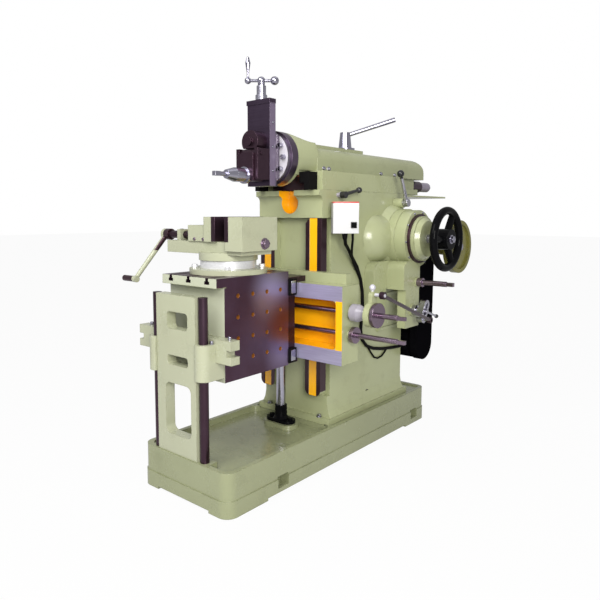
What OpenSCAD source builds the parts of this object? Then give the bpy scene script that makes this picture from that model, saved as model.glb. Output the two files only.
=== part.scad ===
// Metal shaping machine with swivel vise, box table, front table support and belt drive.
// Millimetres, +Z up, -Y towards the table end, +X towards the handwheel side.
// The origin is on the floor under the middle of the base.

/* [Base] */
// Width of the base casting
base_w = 500; // [480:5:560]
// Length of the base casting
base_l = 1502; // [1440:2:1640]
// Height of the base rim above the floor
base_h = 172; // [160:2:200]
// Radius of the upright corners of the base
base_corner_r = 45; // [20:1:60]
// Depth of the chip pan below the rim
pan_depth = 27; // [15:1:35]
// Width of the rim around the chip pan
rim_w = 22; // [16:1:30]
// Height of the foot pads
foot_h = 10; // [6:1:16]
// Height of the plinth band
plinth_h = 55; // [30:1:70]
// Radius of the foundation bolt holes
foundation_r = 11; // [8:0.5:14]

/* [Column] */
// Width of the column
column_w = 370; // [350:2:390]
// Length of the column, front face to rear face
column_l = 655; // [640:1:690]
// Height of the column above the base
column_h = 1050; // [1030:1:1080]
// Wall thickness of the column
column_wall = 32; // [24:1:38]
// Width of each front way
way_w = 86; // [76:1:92]
// How far the ways stand proud of the column
way_proud = 43; // [36:1:50]
// Height of the lower end of the ways above the floor
way_z = 295; // [260:1:320]
// Radius of the round end of the keyhole recess
keyhole_r = 48; // [40:1:52]

/* [Ram] */
// Width of the ram
ram_w = 260; // [250:2:266]
// Length of the ram
ram_l = 1098; // [1060:2:1140]
// Height of the ram
ram_h = 192; // [186:1:210]
// Working stroke of the ram
stroke = 500; // [460:2:500]
// Radius of the front collar
collar_r = 117; // [112:1:120]
// Height of the ram guides above the column
guide_h = 83; // [76:1:88]

/* [Tool head] */
// Width of the tool slide
slide_w = 128; // [116:1:140]
// Length of the tool slide
slide_l = 341; // [330:1:360]
// Thickness of the tool slide
slide_t = 36; // [30:1:42]
// Width of the clapper box
clapper_w = 122; // [114:1:128]
// Radius of the tool post
post_r = 29; // [24:1:31]
// Reach of each arm of the ball crank
ball_reach = 56; // [52:1:70]

/* [Cross rail and table] */
// Length of the cross rail
rail_w = 754; // [740:2:800]
// Height of the cross rail
rail_h = 326; // [316:1:340]
// Depth of the cross rail
rail_d = 120; // [112:1:130]
// Height of the underside of the rail above the floor
rail_z = 494; // [484:1:506]
// Thickness of the saddle
saddle_t = 49; // [40:1:58]
// Width of the table
table_w = 316; // [300:2:330]
// Length of the table
table_l = 413; // [400:1:430]
// Height of the table
table_h = 401; // [390:1:412]
// Thickness of the table top
table_top_t = 36; // [32:1:44]
// Wall thickness of the box table
table_wall = 30; // [22:1:34]
// Width of the T-slot mouths
slot_w = 16; // [12:1:20]
// Radius of the tapped side holes
side_hole_r = 9; // [6:0.5:10]
// Distance between neighbouring side holes
side_hole_pitch = 83; // [76:1:86]
// Radius of the elevating screw
lift_screw_r = 21; // [18:0.5:24]
// Radius of the cross feed and elevating shafts
feed_shaft_r = 11; // [9:0.5:13]
// How far the shafts reach out of the rail end
shaft_reach = 253; // [230:1:270]

/* [Table support] */
// Width of the support frame
support_w = 231; // [220:1:240]
// Height of the support frame above the base
support_h = 631; // [610:1:640]
// Thickness of the support frame
support_t = 45; // [36:1:50]
// Radius of the guide bars
bar_r = 18; // [15:0.5:22]
// Span of the support beam, tip to tip
beam_w = 550; // [520:2:580]
// Height of the support beam
beam_h = 90; // [80:1:100]

/* [Vise] */
// Radius of the vise base flange
vise_base_r = 160; // [150:1:166]
// Radius of the graduated swivel ring
vise_ring_r = 115; // [104:1:122]
// Width of the vise jaws
jaw_w = 200; // [186:2:210]
// Height of the jaws above the vise bed
jaw_h = 100; // [92:1:108]
// Gap between the jaw faces
jaw_gap = 56; // [40:1:70]
// Length of the fixed jaw block
fixed_jaw_l = 98; // [90:1:110]
// Length of the movable jaw block
moving_jaw_l = 170; // [160:1:180]
// Radius of the vise screw
vise_screw_r = 17; // [14:0.5:20]
// Length of the vise crank
vise_crank_l = 258; // [220:1:264]

/* [Drive] */
// Drop from the drive shaft to the feed crank
feed_drop = 350; // [346:1:354]
// Height of the motor shaft above the base deck
motor_rise = 254; // [250:1:260]
// Radius of the gearbox cover flange
cover_r = 140; // [130:1:146]
// Radius of the gearbox dome
dome_r = 110; // [102:1:114]
// Radius of the handwheel, over the rim
handwheel_r = 156; // [146:1:164]
// Radius of the handwheel rim section
rim_r = 19; // [15:0.5:22]
// Radius of the drive shaft
drive_r = 22; // [18:0.5:25]
// Radius of the flywheel disc
flywheel_r = 134; // [124:1:140]
// Radius of the motor body
motor_r = 86; // [80:1:90]
// Radius of the driven pulley
driven_r = 70; // [60:1:74]
// Radius of the motor pulley
motor_pulley_r = 46; // [36:1:54]
// Gear module
gear_m = 7.5; // [7:0.1:7.6]
// Radius of the stroke shaft
stroke_shaft_r = 13; // [10:0.5:15]

/* [Controls] */
// Width of the switch box
switch_w = 112; // [106:1:124]
// Height of the switch box
switch_h = 136; // [130:1:146]
// Depth of the switch box
switch_d = 50; // [40:1:56]
// Side of the square stop button
button_w = 24; // [18:1:28]
// Length of the ratchet lever arm
ratchet_arm = 112; // [104:1:120]
// Distance from the ram front to the lock lever
lock_along = 512; // [490:1:530]
// Length of the ram lock lever
lock_lever_l = 256; // [200:1:260]
// Length of the clutch lever
clutch_lever_l = 156; // [140:1:170]
// Length of the gib lock lever
gib_lever_l = 122; // [100:1:130]

/* [Hidden] */
$fn = 64;

// Paints and metals
green = [0.62, 0.66, 0.52];
yellow = [0.93, 0.62, 0.05];
dark = [0.27, 0.21, 0.26];
steel = [0.70, 0.70, 0.76];
black = [0.06, 0.06, 0.07];

// Clearances
slide_gap = 0.2;
run_gap = 0.05;
free_gap = 0.4;
cut = 1;

// Base
plinth_proud = 4;
deck_z = base_h - 7;
pan_z = base_h - pan_depth;
base_y0 = -base_l / 2;
pocket_w = 64;
pocket_d = 44;
pocket_z = foot_h + 18;
pocket_h = 46;
foundation_x = base_w / 2 - pocket_d / 2;
foundation_y0 = base_y0 + 307;
foundation_y1 = base_l / 2 - 127;
base_cavity_hw = base_w / 2 - pocket_d - 20;
base_cavity_z = pan_z - 26;
rib_hw = 26;

// Front to back chain: support, table, saddle, rail, ways, column
support_y0 = base_y0 + 6;
support_y1 = support_y0 + support_t;
bar_y = (support_y0 + support_y1) / 2;
table_y0 = support_y1 + 10;
table_y1 = table_y0 + table_l;
table_body_y0 = table_y0 + 40;
saddle_y1 = table_y1 + saddle_t;
rail_y0 = saddle_y1 + slide_gap;
rail_y1 = rail_y0 + rail_d;
way_y0 = rail_y1 + slide_gap;
column_y0 = way_y0 + way_proud;
column_y1 = column_y0 + column_l;
column_hw = column_w / 2;
column_top = deck_z + column_h;
apron_z = column_top - 122;
apron_flare = 24;
way_x1 = column_hw - 7;
way_x0 = way_x1 - way_w;
keyhole_z = column_top - 55;
inner_hw = column_hw - column_wall;
cavity_y0 = column_y0 + column_wall;
cavity_y1 = column_y1 - column_wall;
cavity_top = column_top - 45;

// Cross rail
rail_z1 = rail_z + rail_h;
rail_hw = rail_w / 2;
rail_end = 32;
band_h = 62;
rail_mid_y = (rail_y0 + rail_y1) / 2;
cross_z = rail_z + 216;
lift_z = rail_z + 123;
ledge_h = 42;
ledge_d = 42;
shaft_tip = rail_hw + shaft_reach;
ratchet_x = rail_hw + 90;
ratchet_t = 26;
ring_x = ratchet_x + ratchet_t + 4;
ring_r = 50;
rod_pin_z = cross_z + ratchet_arm - 30;
rod_x = ring_x + 22;

// Table and saddle
table_x = -22;
table_x0 = table_x - table_w / 2;
table_x1 = table_x + table_w / 2;
table_z1 = rail_z1 + 51;
table_z0 = table_z1 - table_h;
table_mid_y = (table_y0 + table_y1) / 2;
saddle_hw = table_w / 2 - 6;
slot_pitch = table_w / 3;
slot_depth = 24;
slot_foot_w = slot_w + 12;
slot_foot_h = 12;

// Elevating screw and pedestal
lift_y = rail_mid_y;
pedestal_z = deck_z + 15;
pedestal_top = pedestal_z + 62;
screw_z0 = deck_z - 50;

// Table support
support_x = table_x - 15;
support_x0 = support_x - support_w / 2;
support_x1 = support_x + support_w / 2;
support_z1 = base_h + support_h;
bar_off = support_w / 2 + bar_r + 1.5;
beam_y1 = table_body_y0 - slide_gap;
beam_y0 = support_y1 + 5;
beam_z0 = rail_z + 64;
beam_shift = 22;
beam_hw = beam_w / 2;
beam_boss_r = bar_r + 17;

// Ram and guides
guide_z1 = column_top + guide_h;
ram_hw = ram_w / 2;
ram_z0 = column_top + slide_gap;
ram_foot_h = 30;
ram_neck_hw = ram_hw - 25;
ram_z1 = ram_z0 + ram_h;
ram_y0 = way_y0 - 82;
ram_y1 = ram_y0 + ram_l;
ram_round = 58;
collar_z = column_top + collar_r + 18;
collar_y0 = ram_y0 - 40;
lock_y = ram_y0 + lock_along;
pad_y1 = lock_y + 56;
pad_hw = 70;
pad_h = 16;
rocker_slot_z = 360;
rocker_slot_up = 230;
flare_l = 128;
overhang = 65;

// Rocker, bull gear and pinion
bull_teeth = 72;
pinion_teeth = 16;
drive_y = column_y0 + 565;
drive_z = column_top - 225;
bull_r = gear_m * bull_teeth / 2;
pinion_r = gear_m * pinion_teeth / 2;
bull_y = column_y0 + 330;
bull_z = drive_z - sqrt(pow(bull_r + pinion_r, 2) - pow(drive_y - bull_y, 2));
gear_x0 = 60;
gear_x1 = 118;
gear_angle = atan2(drive_z - bull_z, drive_y - bull_y);
axle_r = 38;
fulcrum_y = bull_y;
fulcrum_z = deck_z + 60;
fulcrum_r = 25;
link_pin_r = 15;
link_z = column_top + 80;
link_y = fulcrum_y + stroke / 2;
rocker_t = 15;
rocker_w = 88;
rocker_tilt = atan2(link_y - fulcrum_y, link_z - fulcrum_z);
rocker_len = norm([link_y - fulcrum_y, link_z - fulcrum_z]);
ram_slot_hw = 62;
crank_r = (bull_z - fulcrum_z) * sin(rocker_tilt);

// Drive side
boss_x = column_hw + 83;
cover_x = boss_x + 57;
ring_x1 = cover_x + 12;
dome_x = ring_x1 + 40;
wheel_x = dome_x + 95;
cover_trim_y = column_y1 + 8;
input_y = column_y1 + 122;
input_z = drive_z - 45;
input_r = 18;
guard_x0 = column_hw + 37;
guard_x1 = guard_x0 + 40;
guard_t = 3;
guard_r = max(motor_r, driven_r + 8);
rotor_r = 14;
motor_y = input_y - 8;
motor_z = deck_z + motor_rise;
plate_hh = 105;
foot_hh = 46;
foot_back = 90;
flywheel_x = wheel_x - 57;
flywheel_t = 32;
bulge_r = 130;
bulge_in = 60;
bulge_l = 170;
stroke_y = drive_y - 20;
stroke_z = drive_z - 215;
case_x1 = column_hw + 145;
case_y0 = drive_y - 148;
case_y1 = drive_y + 10;
case_z0 = drive_z - 245;
case_z1 = drive_z - 107;
leg_z0 = case_z0 - 190;
leg_t = 45;
feed_y = case_y0 + 88;
feed_z = drive_z - feed_drop;
feed_lean = 26;
feed_pin_off = 40;
feed_block_x = case_x1 + 42;
feed_block_t = 30;
feed_pin_x = feed_block_x + feed_block_t + 18;
feed_dir = [-sin(feed_lean), -cos(feed_lean)];
rod_low = [feed_pin_x + 14, feed_y + feed_pin_off * feed_dir.x, feed_z + feed_pin_off * feed_dir.y];
tower_y0 = drive_y - 268;
tower_x1 = column_hw + 52;

// Controls
switch_turn = 45;
switch_x = column_hw + 73;
switch_y = column_y0 + 22;
switch_z = column_top - 120;
button_off = [34, -32];
button_proud = 5;
button_depth = 12;
clutch_y = drive_y + 5;
clutch_z = drive_z + cover_r + 36;
clutch_x = column_hw + 54;
gib_y = column_y0 + 68;
gib_z = column_top - 20;

// Vise
vise_x = table_x;
vise_y = table_mid_y + 10;
vise_flange_t = 21;
vise_ring_z = table_z1 + vise_flange_t;
vise_ring_h = 33;
vise_body_z = vise_ring_z + vise_ring_h + free_gap;
bed_h = 74;
bed_z1 = vise_body_z + bed_h;
jaw_z1 = bed_z1 + jaw_h;
fixed_jaw_x0 = vise_x + 82;
fixed_jaw_x1 = fixed_jaw_x0 + fixed_jaw_l;
moving_jaw_x1 = fixed_jaw_x0 - jaw_gap;
moving_jaw_x0 = moving_jaw_x1 - moving_jaw_l;
bed_x0 = moving_jaw_x0 - 143;
bed_end_t = 22;
vise_screw_z = bed_z1 + vise_screw_r + 4;
bed_slot_hw = 22;
crank_x = bed_x0 - 97;
screw_depth = 60;
crank_tilt = 42;
jaw_step_h = 34;
jaw_step_l = moving_jaw_l * 0.62;

// Tool head
swivel_y0 = collar_y0 - 20;
guide_y0 = swivel_y0 - 27;
slide_y1 = guide_y0 - slide_gap;
slide_y0 = slide_y1 - slide_t;
slide_z0 = collar_z - 122;
slide_z1 = slide_z0 + slide_l;
head_r = collar_r - 9;
clapper_z1 = slide_z0 + 152;
clapper_z0 = slide_z0 + 24;
clapper_y0 = slide_y0 - 72;
clapper_back = 20;
cheek_t = 18;
block_hw = clapper_w / 2 - cheek_t - free_gap;
hinge_z = clapper_z1 - 20;
hinge_y = clapper_y0 + 26;
hinge_r = 9;
post_z = clapper_z0 + 18;
feed_screw_x = 0;
feed_screw_y = slide_y0 + slide_t / 2;
hub_z = slide_z1 + 18;
crank_rise = 80;
crank_z = hub_z + crank_rise;

// Cable from the switch box to the motor, along the column side
cable_r = 8;
cable_sides = 8;
cable_x = column_hw + cable_r + 1;
cable_z0 = switch_z - switch_h / 2;
cable_drop = cable_z0 - motor_z;
cable_l = column_y1 - column_y0;
function cable_point(x, along, down) =
    [cable_x + x, column_y0 + along * cable_l, cable_z0 - down * cable_drop];
cable_route = [
    [switch_x, switch_y, cable_z0],
    [switch_x, switch_y, cable_z0 - 20],
    [switch_x - 14, switch_y + 26, cable_z0 - 48],
    cable_point(26, 0.16, 0.12),
    cable_point(8, 0.25, 0.19),
    cable_point(1, 0.33, 0.27),
    cable_point(0, 0.38, 0.37),
    cable_point(0, 0.405, 0.47),
    cable_point(0, 0.41, 0.57),
    cable_point(0, 0.40, 0.67),
    cable_point(0, 0.39, 0.77),
    cable_point(0, 0.41, 0.85),
    cable_point(0, 0.47, 0.91),
    cable_point(0, 0.57, 0.95),
    cable_point(0, 0.69, 0.975),
    cable_point(0, 0.82, 0.99),
    cable_point(0, 0.93, 1),
    [cable_x, column_y1 - 18, motor_z],
    [cable_x, column_y1 + 10, motor_z]
];

// A box given by its two corners
module block(x0, x1, y0, y1, z0, z1) {
    translate([x0, y0, z0])
        cube([x1 - x0, y1 - y0, z1 - z0]);
}

// Round bars along the three axes
module bar_x(x0, x1, y, z, r, r1 = -1) {
    translate([x0, y, z])
        rotate([0, 90, 0])
            cylinder(h = x1 - x0, r1 = r, r2 = r1 < 0 ? r : r1);
}

module bar_y(y0, y1, x, z, r, r1 = -1) {
    translate([x, y0, z])
        rotate([-90, 0, 0])
            cylinder(h = y1 - y0, r1 = r, r2 = r1 < 0 ? r : r1);
}

module bar_z(z0, z1, x, y, r, r1 = -1) {
    translate([x, y, z0])
        cylinder(h = z1 - z0, r1 = r, r2 = r1 < 0 ? r : r1);
}

// A round rod between two points
module rod(a, b, r, r1 = -1) {
    d = b - a;
    translate(a)
        rotate([0, acos(d.z / norm(d)), atan2(d.y, d.x)])
            cylinder(h = norm(d), r1 = r, r2 = r1 < 0 ? r : r1);
}

module ball(p, r) {
    translate(p)
        sphere(r);
}

// Both sides of the machine
module both_sides() {
    children();
    mirror([1, 0, 0])
        children();
}

// Profiles drawn in Y and Z and drawn out along X, and in X and Z drawn out along Y
module along_x(x0, x1) {
    translate([x0, 0, 0])
        rotate([90, 0, 90])
            linear_extrude(x1 - x0)
                children();
}

module along_y(y0, y1) {
    translate([0, y1, 0])
        rotate([90, 0, 0])
            linear_extrude(y1 - y0)
                children();
}

module rounded_rect(w, d, r) {
    square([w - 2 * r, d], center = true);
    square([w, d - 2 * r], center = true);
    for (x = [-1, 1], y = [-1, 1])
        translate([x * (w / 2 - r), y * (d / 2 - r)])
            circle(r);
}

// A flat bar with round ends between two points of a plane
module slot_shape(a, b, r) {
    d = b - a;
    translate(a)
        circle(r);
    translate(b)
        circle(r);
    translate(a)
        rotate(atan2(d.y, d.x))
            translate([0, -r])
                square([norm(d), 2 * r]);
}

module hex_head(x, y, z, r, h) {
    translate([x, y, z])
        cylinder(h = h, r = r, $fn = 6);
}

// Straight-sided gear teeth
function gear_outline(teeth, m) =
    let (r = teeth * m / 2)
    [for (i = [0 : teeth - 1], k = [0 : 3])
        let (
            a = (i + [-0.30, -0.13, 0.13, 0.30][k]) * 360 / teeth,
            q = (k == 0 || k == 3) ? r - m : r + 0.8 * m
        )
        [q * cos(a), q * sin(a)]];

// A tube swept along a route
function unit(v) = v / norm(v);
function route_dir(p, i) = unit(p[min(i + 1, len(p) - 1)] - p[max(i - 1, 0)]);
function route_side(d) = unit(cross(d, [1, 0.2, 0.1]));

module tube(p, r, sides) {
    rings = [for (i = [0 : len(p) - 1])
        let (d = route_dir(p, i), s = route_side(d), t = cross(d, s))
        for (k = [0 : sides - 1])
            p[i] + r * (cos(360 * k / sides) * s + sin(360 * k / sides) * t)];
    last = (len(p) - 1) * sides;
    walls = [for (i = [0 : len(p) - 2], k = [0 : sides - 1])
        let (a = i * sides + k, b = i * sides + (k + 1) % sides)
        each [[a, a + sides, b], [b, a + sides, b + sides]]];
    start = [for (k = [1 : sides - 2]) [0, k, k + 1]];
    end = [for (k = [1 : sides - 2]) [last, last + k + 1, last + k]];
    polyhedron(rings, concat(walls, start, end));
}

module base_casting() {
    color(green)
    difference() {
        union() {
            translate([0, 0, foot_h])
                linear_extrude(base_h - foot_h)
                    rounded_rect(base_w, base_l, base_corner_r);
            translate([0, 0, foot_h])
                linear_extrude(plinth_h)
                    rounded_rect(base_w + 2 * plinth_proud, base_l + 2 * plinth_proud,
                        base_corner_r + plinth_proud);
            foot_pads();
            block(-base_w / 5, base_w / 5, -rib_hw, rib_hw, 0, foot_h + cut);
        }
        chip_pan();
        rear_deck();
        base_cavities();
        foundation_pockets();
        bar_z(base_cavity_z - cut, base_h, 0, lift_y, lift_screw_r + 2);
    }
}

// Pads under the four corners, following the rounded plan
module foot_pads() {
    pad_x = base_w / 5;
    pad_y = base_l / 7;
    intersection() {
        linear_extrude(foot_h + cut)
            rounded_rect(base_w + 2 * plinth_proud, base_l + 2 * plinth_proud,
                base_corner_r + plinth_proud);
        both_sides()
            for (y = [-1, 1])
                translate([base_w / 2 - pad_x, y > 0 ? base_l / 2 - pad_y : -base_l / 2 - 2 * plinth_proud, 0])
                    cube([pad_x + 2 * plinth_proud, pad_y + 2 * plinth_proud, foot_h + cut]);
    }
}

// The pan keeps a ledge under the table support and a boss under the elevating screw
module chip_pan() {
    pan_w = base_w - 2 * rim_w;
    pan_y0 = base_y0 + rim_w;
    pan_y1 = column_y0 - 30;
    pan_r = base_corner_r - rim_w / 2;
    difference() {
        translate([0, (pan_y0 + pan_y1) / 2, pan_z])
            linear_extrude(pan_depth + cut)
                rounded_rect(pan_w, pan_y1 - pan_y0, pan_r);
        block(support_x - bar_off - bar_r - 14, support_x + bar_off + bar_r + 14,
            base_y0, support_y1 + 12, pan_z - cut, base_h + 2 * cut);
        translate([0, lift_y, pan_z - cut])
            linear_extrude(deck_z - pan_z + cut)
                rounded_rect(176, 96, 46);
    }
}

module rear_deck() {
    deck_y0 = column_y0 - 30;
    deck_y1 = base_l / 2 - rim_w;
    translate([0, (deck_y0 + deck_y1) / 2 + 0.5, deck_z])
        linear_extrude(base_h - deck_z + cut)
            rounded_rect(base_w - 2 * rim_w, deck_y1 - deck_y0 + 1, 20);
}

module base_cavities() {
    block(-base_cavity_hw, base_cavity_hw, base_y0 + 60, -rib_hw, -cut, base_cavity_z);
    block(-base_cavity_hw, base_cavity_hw, rib_hw, base_l / 2 - 60, -cut, base_cavity_z);
}

module foundation_pockets() {
    both_sides()
        for (y = [foundation_y0, foundation_y1]) {
            block(base_w / 2 - pocket_d, base_w / 2 + 2 * plinth_proud,
                y - pocket_w / 2, y + pocket_w / 2, pocket_z, pocket_z + pocket_h);
            bar_z(-cut, pocket_z + cut, foundation_x, y, foundation_r);
        }
}

module column_casting() {
    color(green)
    difference() {
        union() {
            block(-column_hw, column_hw, column_y0, column_y1, deck_z, column_top);
            block(-column_hw - 26, column_hw + 26, column_y0 - 22, column_y1 + 24, deck_z, deck_z + 28);
            column_foot_flare();
            column_apron();
            column_ways();
            gearbox_boss();
            bar_x(column_hw - cut, clutch_x - 4, clutch_y, clutch_z, 24);
        }
        column_cavity();
        keyhole();
        keeper_grooves();
        bar_x(gear_x0 - 24, boss_x + cut, drive_y, drive_z, pinion_r + gear_m + 4);
        bar_x(inner_hw - cut, column_hw + 34, stroke_y, stroke_z, stroke_shaft_r + 1);
        bar_x(gear_x1, column_hw - 8, bull_y, bull_z, axle_r + run_gap);
        bar_x(-column_hw - cut, column_hw + cut, fulcrum_y, fulcrum_z, fulcrum_r + run_gap);
    }
}

// Sloping skirt where the column meets its foot
module column_foot_flare() {
    flare = 22;
    both_sides()
        translate([column_hw - cut, column_y0, deck_z + 28 - cut])
            rotate([-90, 0, 0])
                linear_extrude(column_l)
                    polygon([[0, 0], [flare, 0], [flare * 0.35, -flare * 1.2], [0, -flare * 3]]);
}

// Upper front of the column, flaring forward under the ram
module column_apron() {
    along_x(-column_hw, column_hw)
        difference() {
            translate([way_y0 - apron_flare, apron_z])
                square([column_y0 + cut - way_y0 + apron_flare, column_top - apron_z]);
            translate([way_y0 - 2 * apron_flare, apron_z - cut])
                square([2 * apron_flare, column_top - apron_z - 2 * apron_flare + cut]);
            translate([way_y0 - apron_flare, column_top - 2 * apron_flare])
                circle(apron_flare);
        }
}

// Two ways with a relief groove down the middle of each and a round lower end
module column_ways() {
    relief = way_w / 4;
    chamfer = 22;
    both_sides()
        difference() {
            along_y(way_y0, column_y0 + cut)
                difference() {
                    union() {
                        translate([way_x0, way_z + way_w / 3])
                            square([way_w, apron_z - way_z - way_w / 3 + cut]);
                        translate([way_x0 + way_w / 3, way_z])
                            square([way_w / 3, way_w / 3 + cut]);
                        for (x = [way_x0 + way_w / 3, way_x1 - way_w / 3])
                            translate([x, way_z + way_w / 3])
                                circle(way_w / 3);
                    }
                    translate([way_x0, apron_z])
                        rotate(45)
                            square(chamfer * sqrt(2), center = true);
                }
            block(way_x0 + relief, way_x1 - relief, way_y0 - cut, way_y0 + 3, way_z - cut, apron_z + cut);
        }
}

// Grooves behind the outer edges of the ways, where the rail keepers hook
module keeper_grooves() {
    both_sides()
        block(way_x1 - 18, column_hw + cut, column_y0, column_y0 + 20, way_z - 4, apron_z);
}

// Bulge around the drive shaft that carries the gearbox cover
module gearbox_boss() {
    intersection() {
        boss_shape(0);
        block(0, 2 * boss_x, 0, cover_trim_y, 0, column_top);
    }
}

// Drum on a round-nosed swelling that runs forward along the column side, grown all round by a gap
module boss_shape(gap) {
    bar_y(drive_y - bulge_l, drive_y, column_hw - bulge_in, drive_z, bulge_r + gap);
    ball([column_hw - bulge_in, drive_y - bulge_l, drive_z], bulge_r + gap);
    bar_x(column_hw - cut, column_hw + 40, drive_y, drive_z, cover_r + 30 + gap, cover_r + 8 + gap);
    bar_x(column_hw - cut, boss_x, drive_y, drive_z, cover_r + 6 + gap);
}

module column_cavity() {
    block(-inner_hw, inner_hw, cavity_y0, cavity_y1, deck_z - cut, cavity_top);
    block(-ram_slot_hw, ram_slot_hw, cavity_y0 + 4, cavity_y1 - 4, cavity_top - cut, column_top + cut);
}

module keyhole() {
    depth = 48;
    y0 = way_y0 - apron_flare - cut;
    bar_y(y0, way_y0 + depth, 0, keyhole_z, keyhole_r);
    block(-keyhole_r * 0.9, keyhole_r * 0.9, y0, way_y0 + depth, keyhole_z, column_top + cut);
}

// L-shaped guides that hold the ram down on the column
module ram_guides() {
    color(green)
    both_sides()
        difference() {
            along_y(way_y0, column_y1)
                difference() {
                    translate([ram_neck_hw + free_gap, column_top])
                        square([column_hw - ram_neck_hw - free_gap, guide_h]);
                    translate([ram_neck_hw, column_top - cut])
                        square([ram_hw + free_gap - ram_neck_hw, ram_foot_h + slide_gap + free_gap + cut]);
                }
        }
}

module ram_wipers() {
    color(black)
    both_sides()
        along_y(way_y0 - 62, way_y0)
            difference() {
                translate([ram_neck_hw + free_gap, column_top])
                    square([column_hw - ram_neck_hw - 30, guide_h - 6]);
                translate([ram_neck_hw, column_top - cut])
                    square([ram_hw + free_gap - ram_neck_hw, ram_foot_h + slide_gap + free_gap + cut]);
            }
}

module oil_tray() {
    tray_z = column_top - 12;
    color(green)
    difference() {
        block(-ram_hw - 14, ram_hw + 14, column_y1, column_y1 + ram_l * 0.52, tray_z, tray_z + 9);
        block(-ram_hw - 10, ram_hw + 10, column_y1 + 4, column_y1 + ram_l * 0.52 - 4, tray_z + 3, tray_z + 10);
    }
}

// Flange, machined ring and dome around the drive shaft
module gearbox_cover() {
    color(green)
    difference() {
        union() {
            intersection() {
                bar_x(boss_x, cover_x, drive_y, drive_z, cover_r);
                block(0, 2 * cover_x, 0, cover_trim_y, 0, column_top);
            }
            bar_x(cover_x - cut, ring_x1, drive_y, drive_z, cover_r - 19);
            bar_x(ring_x1 - cut, dome_x - 22, drive_y, drive_z, dome_r);
            bar_x(dome_x - 22 - cut, dome_x, drive_y, drive_z, dome_r - 6, dome_r - 22);
        }
        bar_x(boss_x - cut, boss_x + 30, drive_y, drive_z, pinion_r + gear_m);
        bar_x(boss_x - cut, dome_x + cut, drive_y, drive_z, drive_r + run_gap);
    }
}

// Box on the column with a leg that carries the feed shaft
module feed_gear_case() {
    corner = 42;
    color(green)
    difference() {
        union() {
            along_x(column_hw, case_x1) {
                translate([case_y0 + corner, case_z0])
                    square([case_y1 - case_y0 - corner, case_z1 - case_z0]);
                translate([case_y0, case_z0])
                    square([corner + cut, case_z1 - case_z0 - corner]);
                translate([case_y0 + corner, case_z1 - corner])
                    circle(corner);
            }
            along_x(column_hw, tower_x1)
                tower_shape(corner + 12);
            block(case_x1 - leg_t, case_x1, case_y0 + 20, case_y1 - 4, leg_z0, case_z0 + cut);
            bar_x(case_x1 - cut, case_x1 + 8, feed_y, feed_z, 30);
            bar_x(case_x1 - cut, case_x1 + 8, stroke_y, stroke_z, 24);
        }
        boss_shape(2 * free_gap);
        bar_x(column_hw - cut, cover_x + free_gap, drive_y, drive_z, cover_r + free_gap);
        bar_x(column_hw - cut, ring_x1 + free_gap, drive_y, drive_z, cover_r - 18.5);
        bar_x(column_hw - cut, case_x1 + 10, stroke_y, stroke_z, stroke_shaft_r + run_gap);
        bar_x(case_x1 - leg_t - cut, case_x1 + 10, feed_y, feed_z, 16 + run_gap);
    }
}

// Rounded end of the case, nearer the table
module tower_shape(r) {
    z0 = case_z0 - 88;
    translate([tower_y0, z0])
        square([case_y0 - 6 - tower_y0, case_z1 - r - z0]);
    translate([tower_y0 + r, case_z0])
        square([case_y0 + 20 - tower_y0 - r, case_z1 - case_z0]);
    translate([tower_y0 + r, case_z1 - r])
        circle(r);
}

module access_cover() {
    y0 = case_y0 - 2;
    y1 = column_y1 - 28;
    z0 = case_z0 - 218;
    z1 = case_z0 - 30;
    color(green)
    union() {
        difference() {
            block(column_hw, column_hw + 8, y0, y1, z0, z1);
            block(column_hw + 3, column_hw + 9, y0 + 16, y1 - 16, z0 + 16, z1 - 16);
        }
        for (y = [y0 + 8, y1 - 8], z = [z0 + 8, z1 - 8])
            bar_x(column_hw + 8 - cut, column_hw + 12, y, z, 5);
    }
}

module motor_plate() {
    plate_x1 = column_hw - 75;
    color(green)
    union() {
        block(-column_hw / 2, plate_x1, column_y1, column_y1 + 14, motor_z - plate_hh, motor_z + plate_hh);
        block(plate_x1 - 30, plate_x1, column_y1 + 14 - cut, column_y1 + 44, motor_z - plate_hh, motor_z - plate_hh + 13);
    }
}

module motor() {
    foot_y = column_y1 + 14;
    fins = 14;
    color(black)
    difference() {
        union() {
            bar_x(-column_hw / 2, guard_x0 - 20, motor_y, motor_z, motor_r - 4);
            bar_x(guard_x0 - 20 - cut, guard_x0, motor_y, motor_z, motor_r - 12);
            for (i = [0 : fins - 1])
                translate([-column_hw / 2 + 20 + i * 13, motor_y, motor_z])
                    rotate([0, 90, 0])
                        cylinder(h = 5, r = motor_r);
            block(-column_hw / 2 + 25, column_hw - foot_back, foot_y, motor_y, motor_z - foot_hh, motor_z + foot_hh);
            block(column_hw - 60, cable_x + cable_r + 6, column_y1 + 10, motor_y - 40, motor_z - 26, motor_z + 26);
        }
        bar_x(guard_x0 - 44, guard_x0 + cut, motor_y, motor_z, rotor_r + run_gap);
    }
}

// Outline of the guard around both pulleys
module guard_outline(r) {
    slot_shape([motor_y, motor_z], [input_y, input_z], r);
}

module belt_guard() {
    color(black)
    difference() {
        along_x(guard_x0, guard_x1)
            guard_outline(guard_r);
        along_x(guard_x0 + guard_t, guard_x1 - guard_t)
            guard_outline(guard_r - guard_t);
        bar_x(guard_x0 - cut, guard_x1 + cut, input_y, input_z, input_r + 3);
        bar_x(guard_x0 - cut, guard_x0 + guard_t + cut, motor_y, motor_z, input_r + 1);
    }
}

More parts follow.
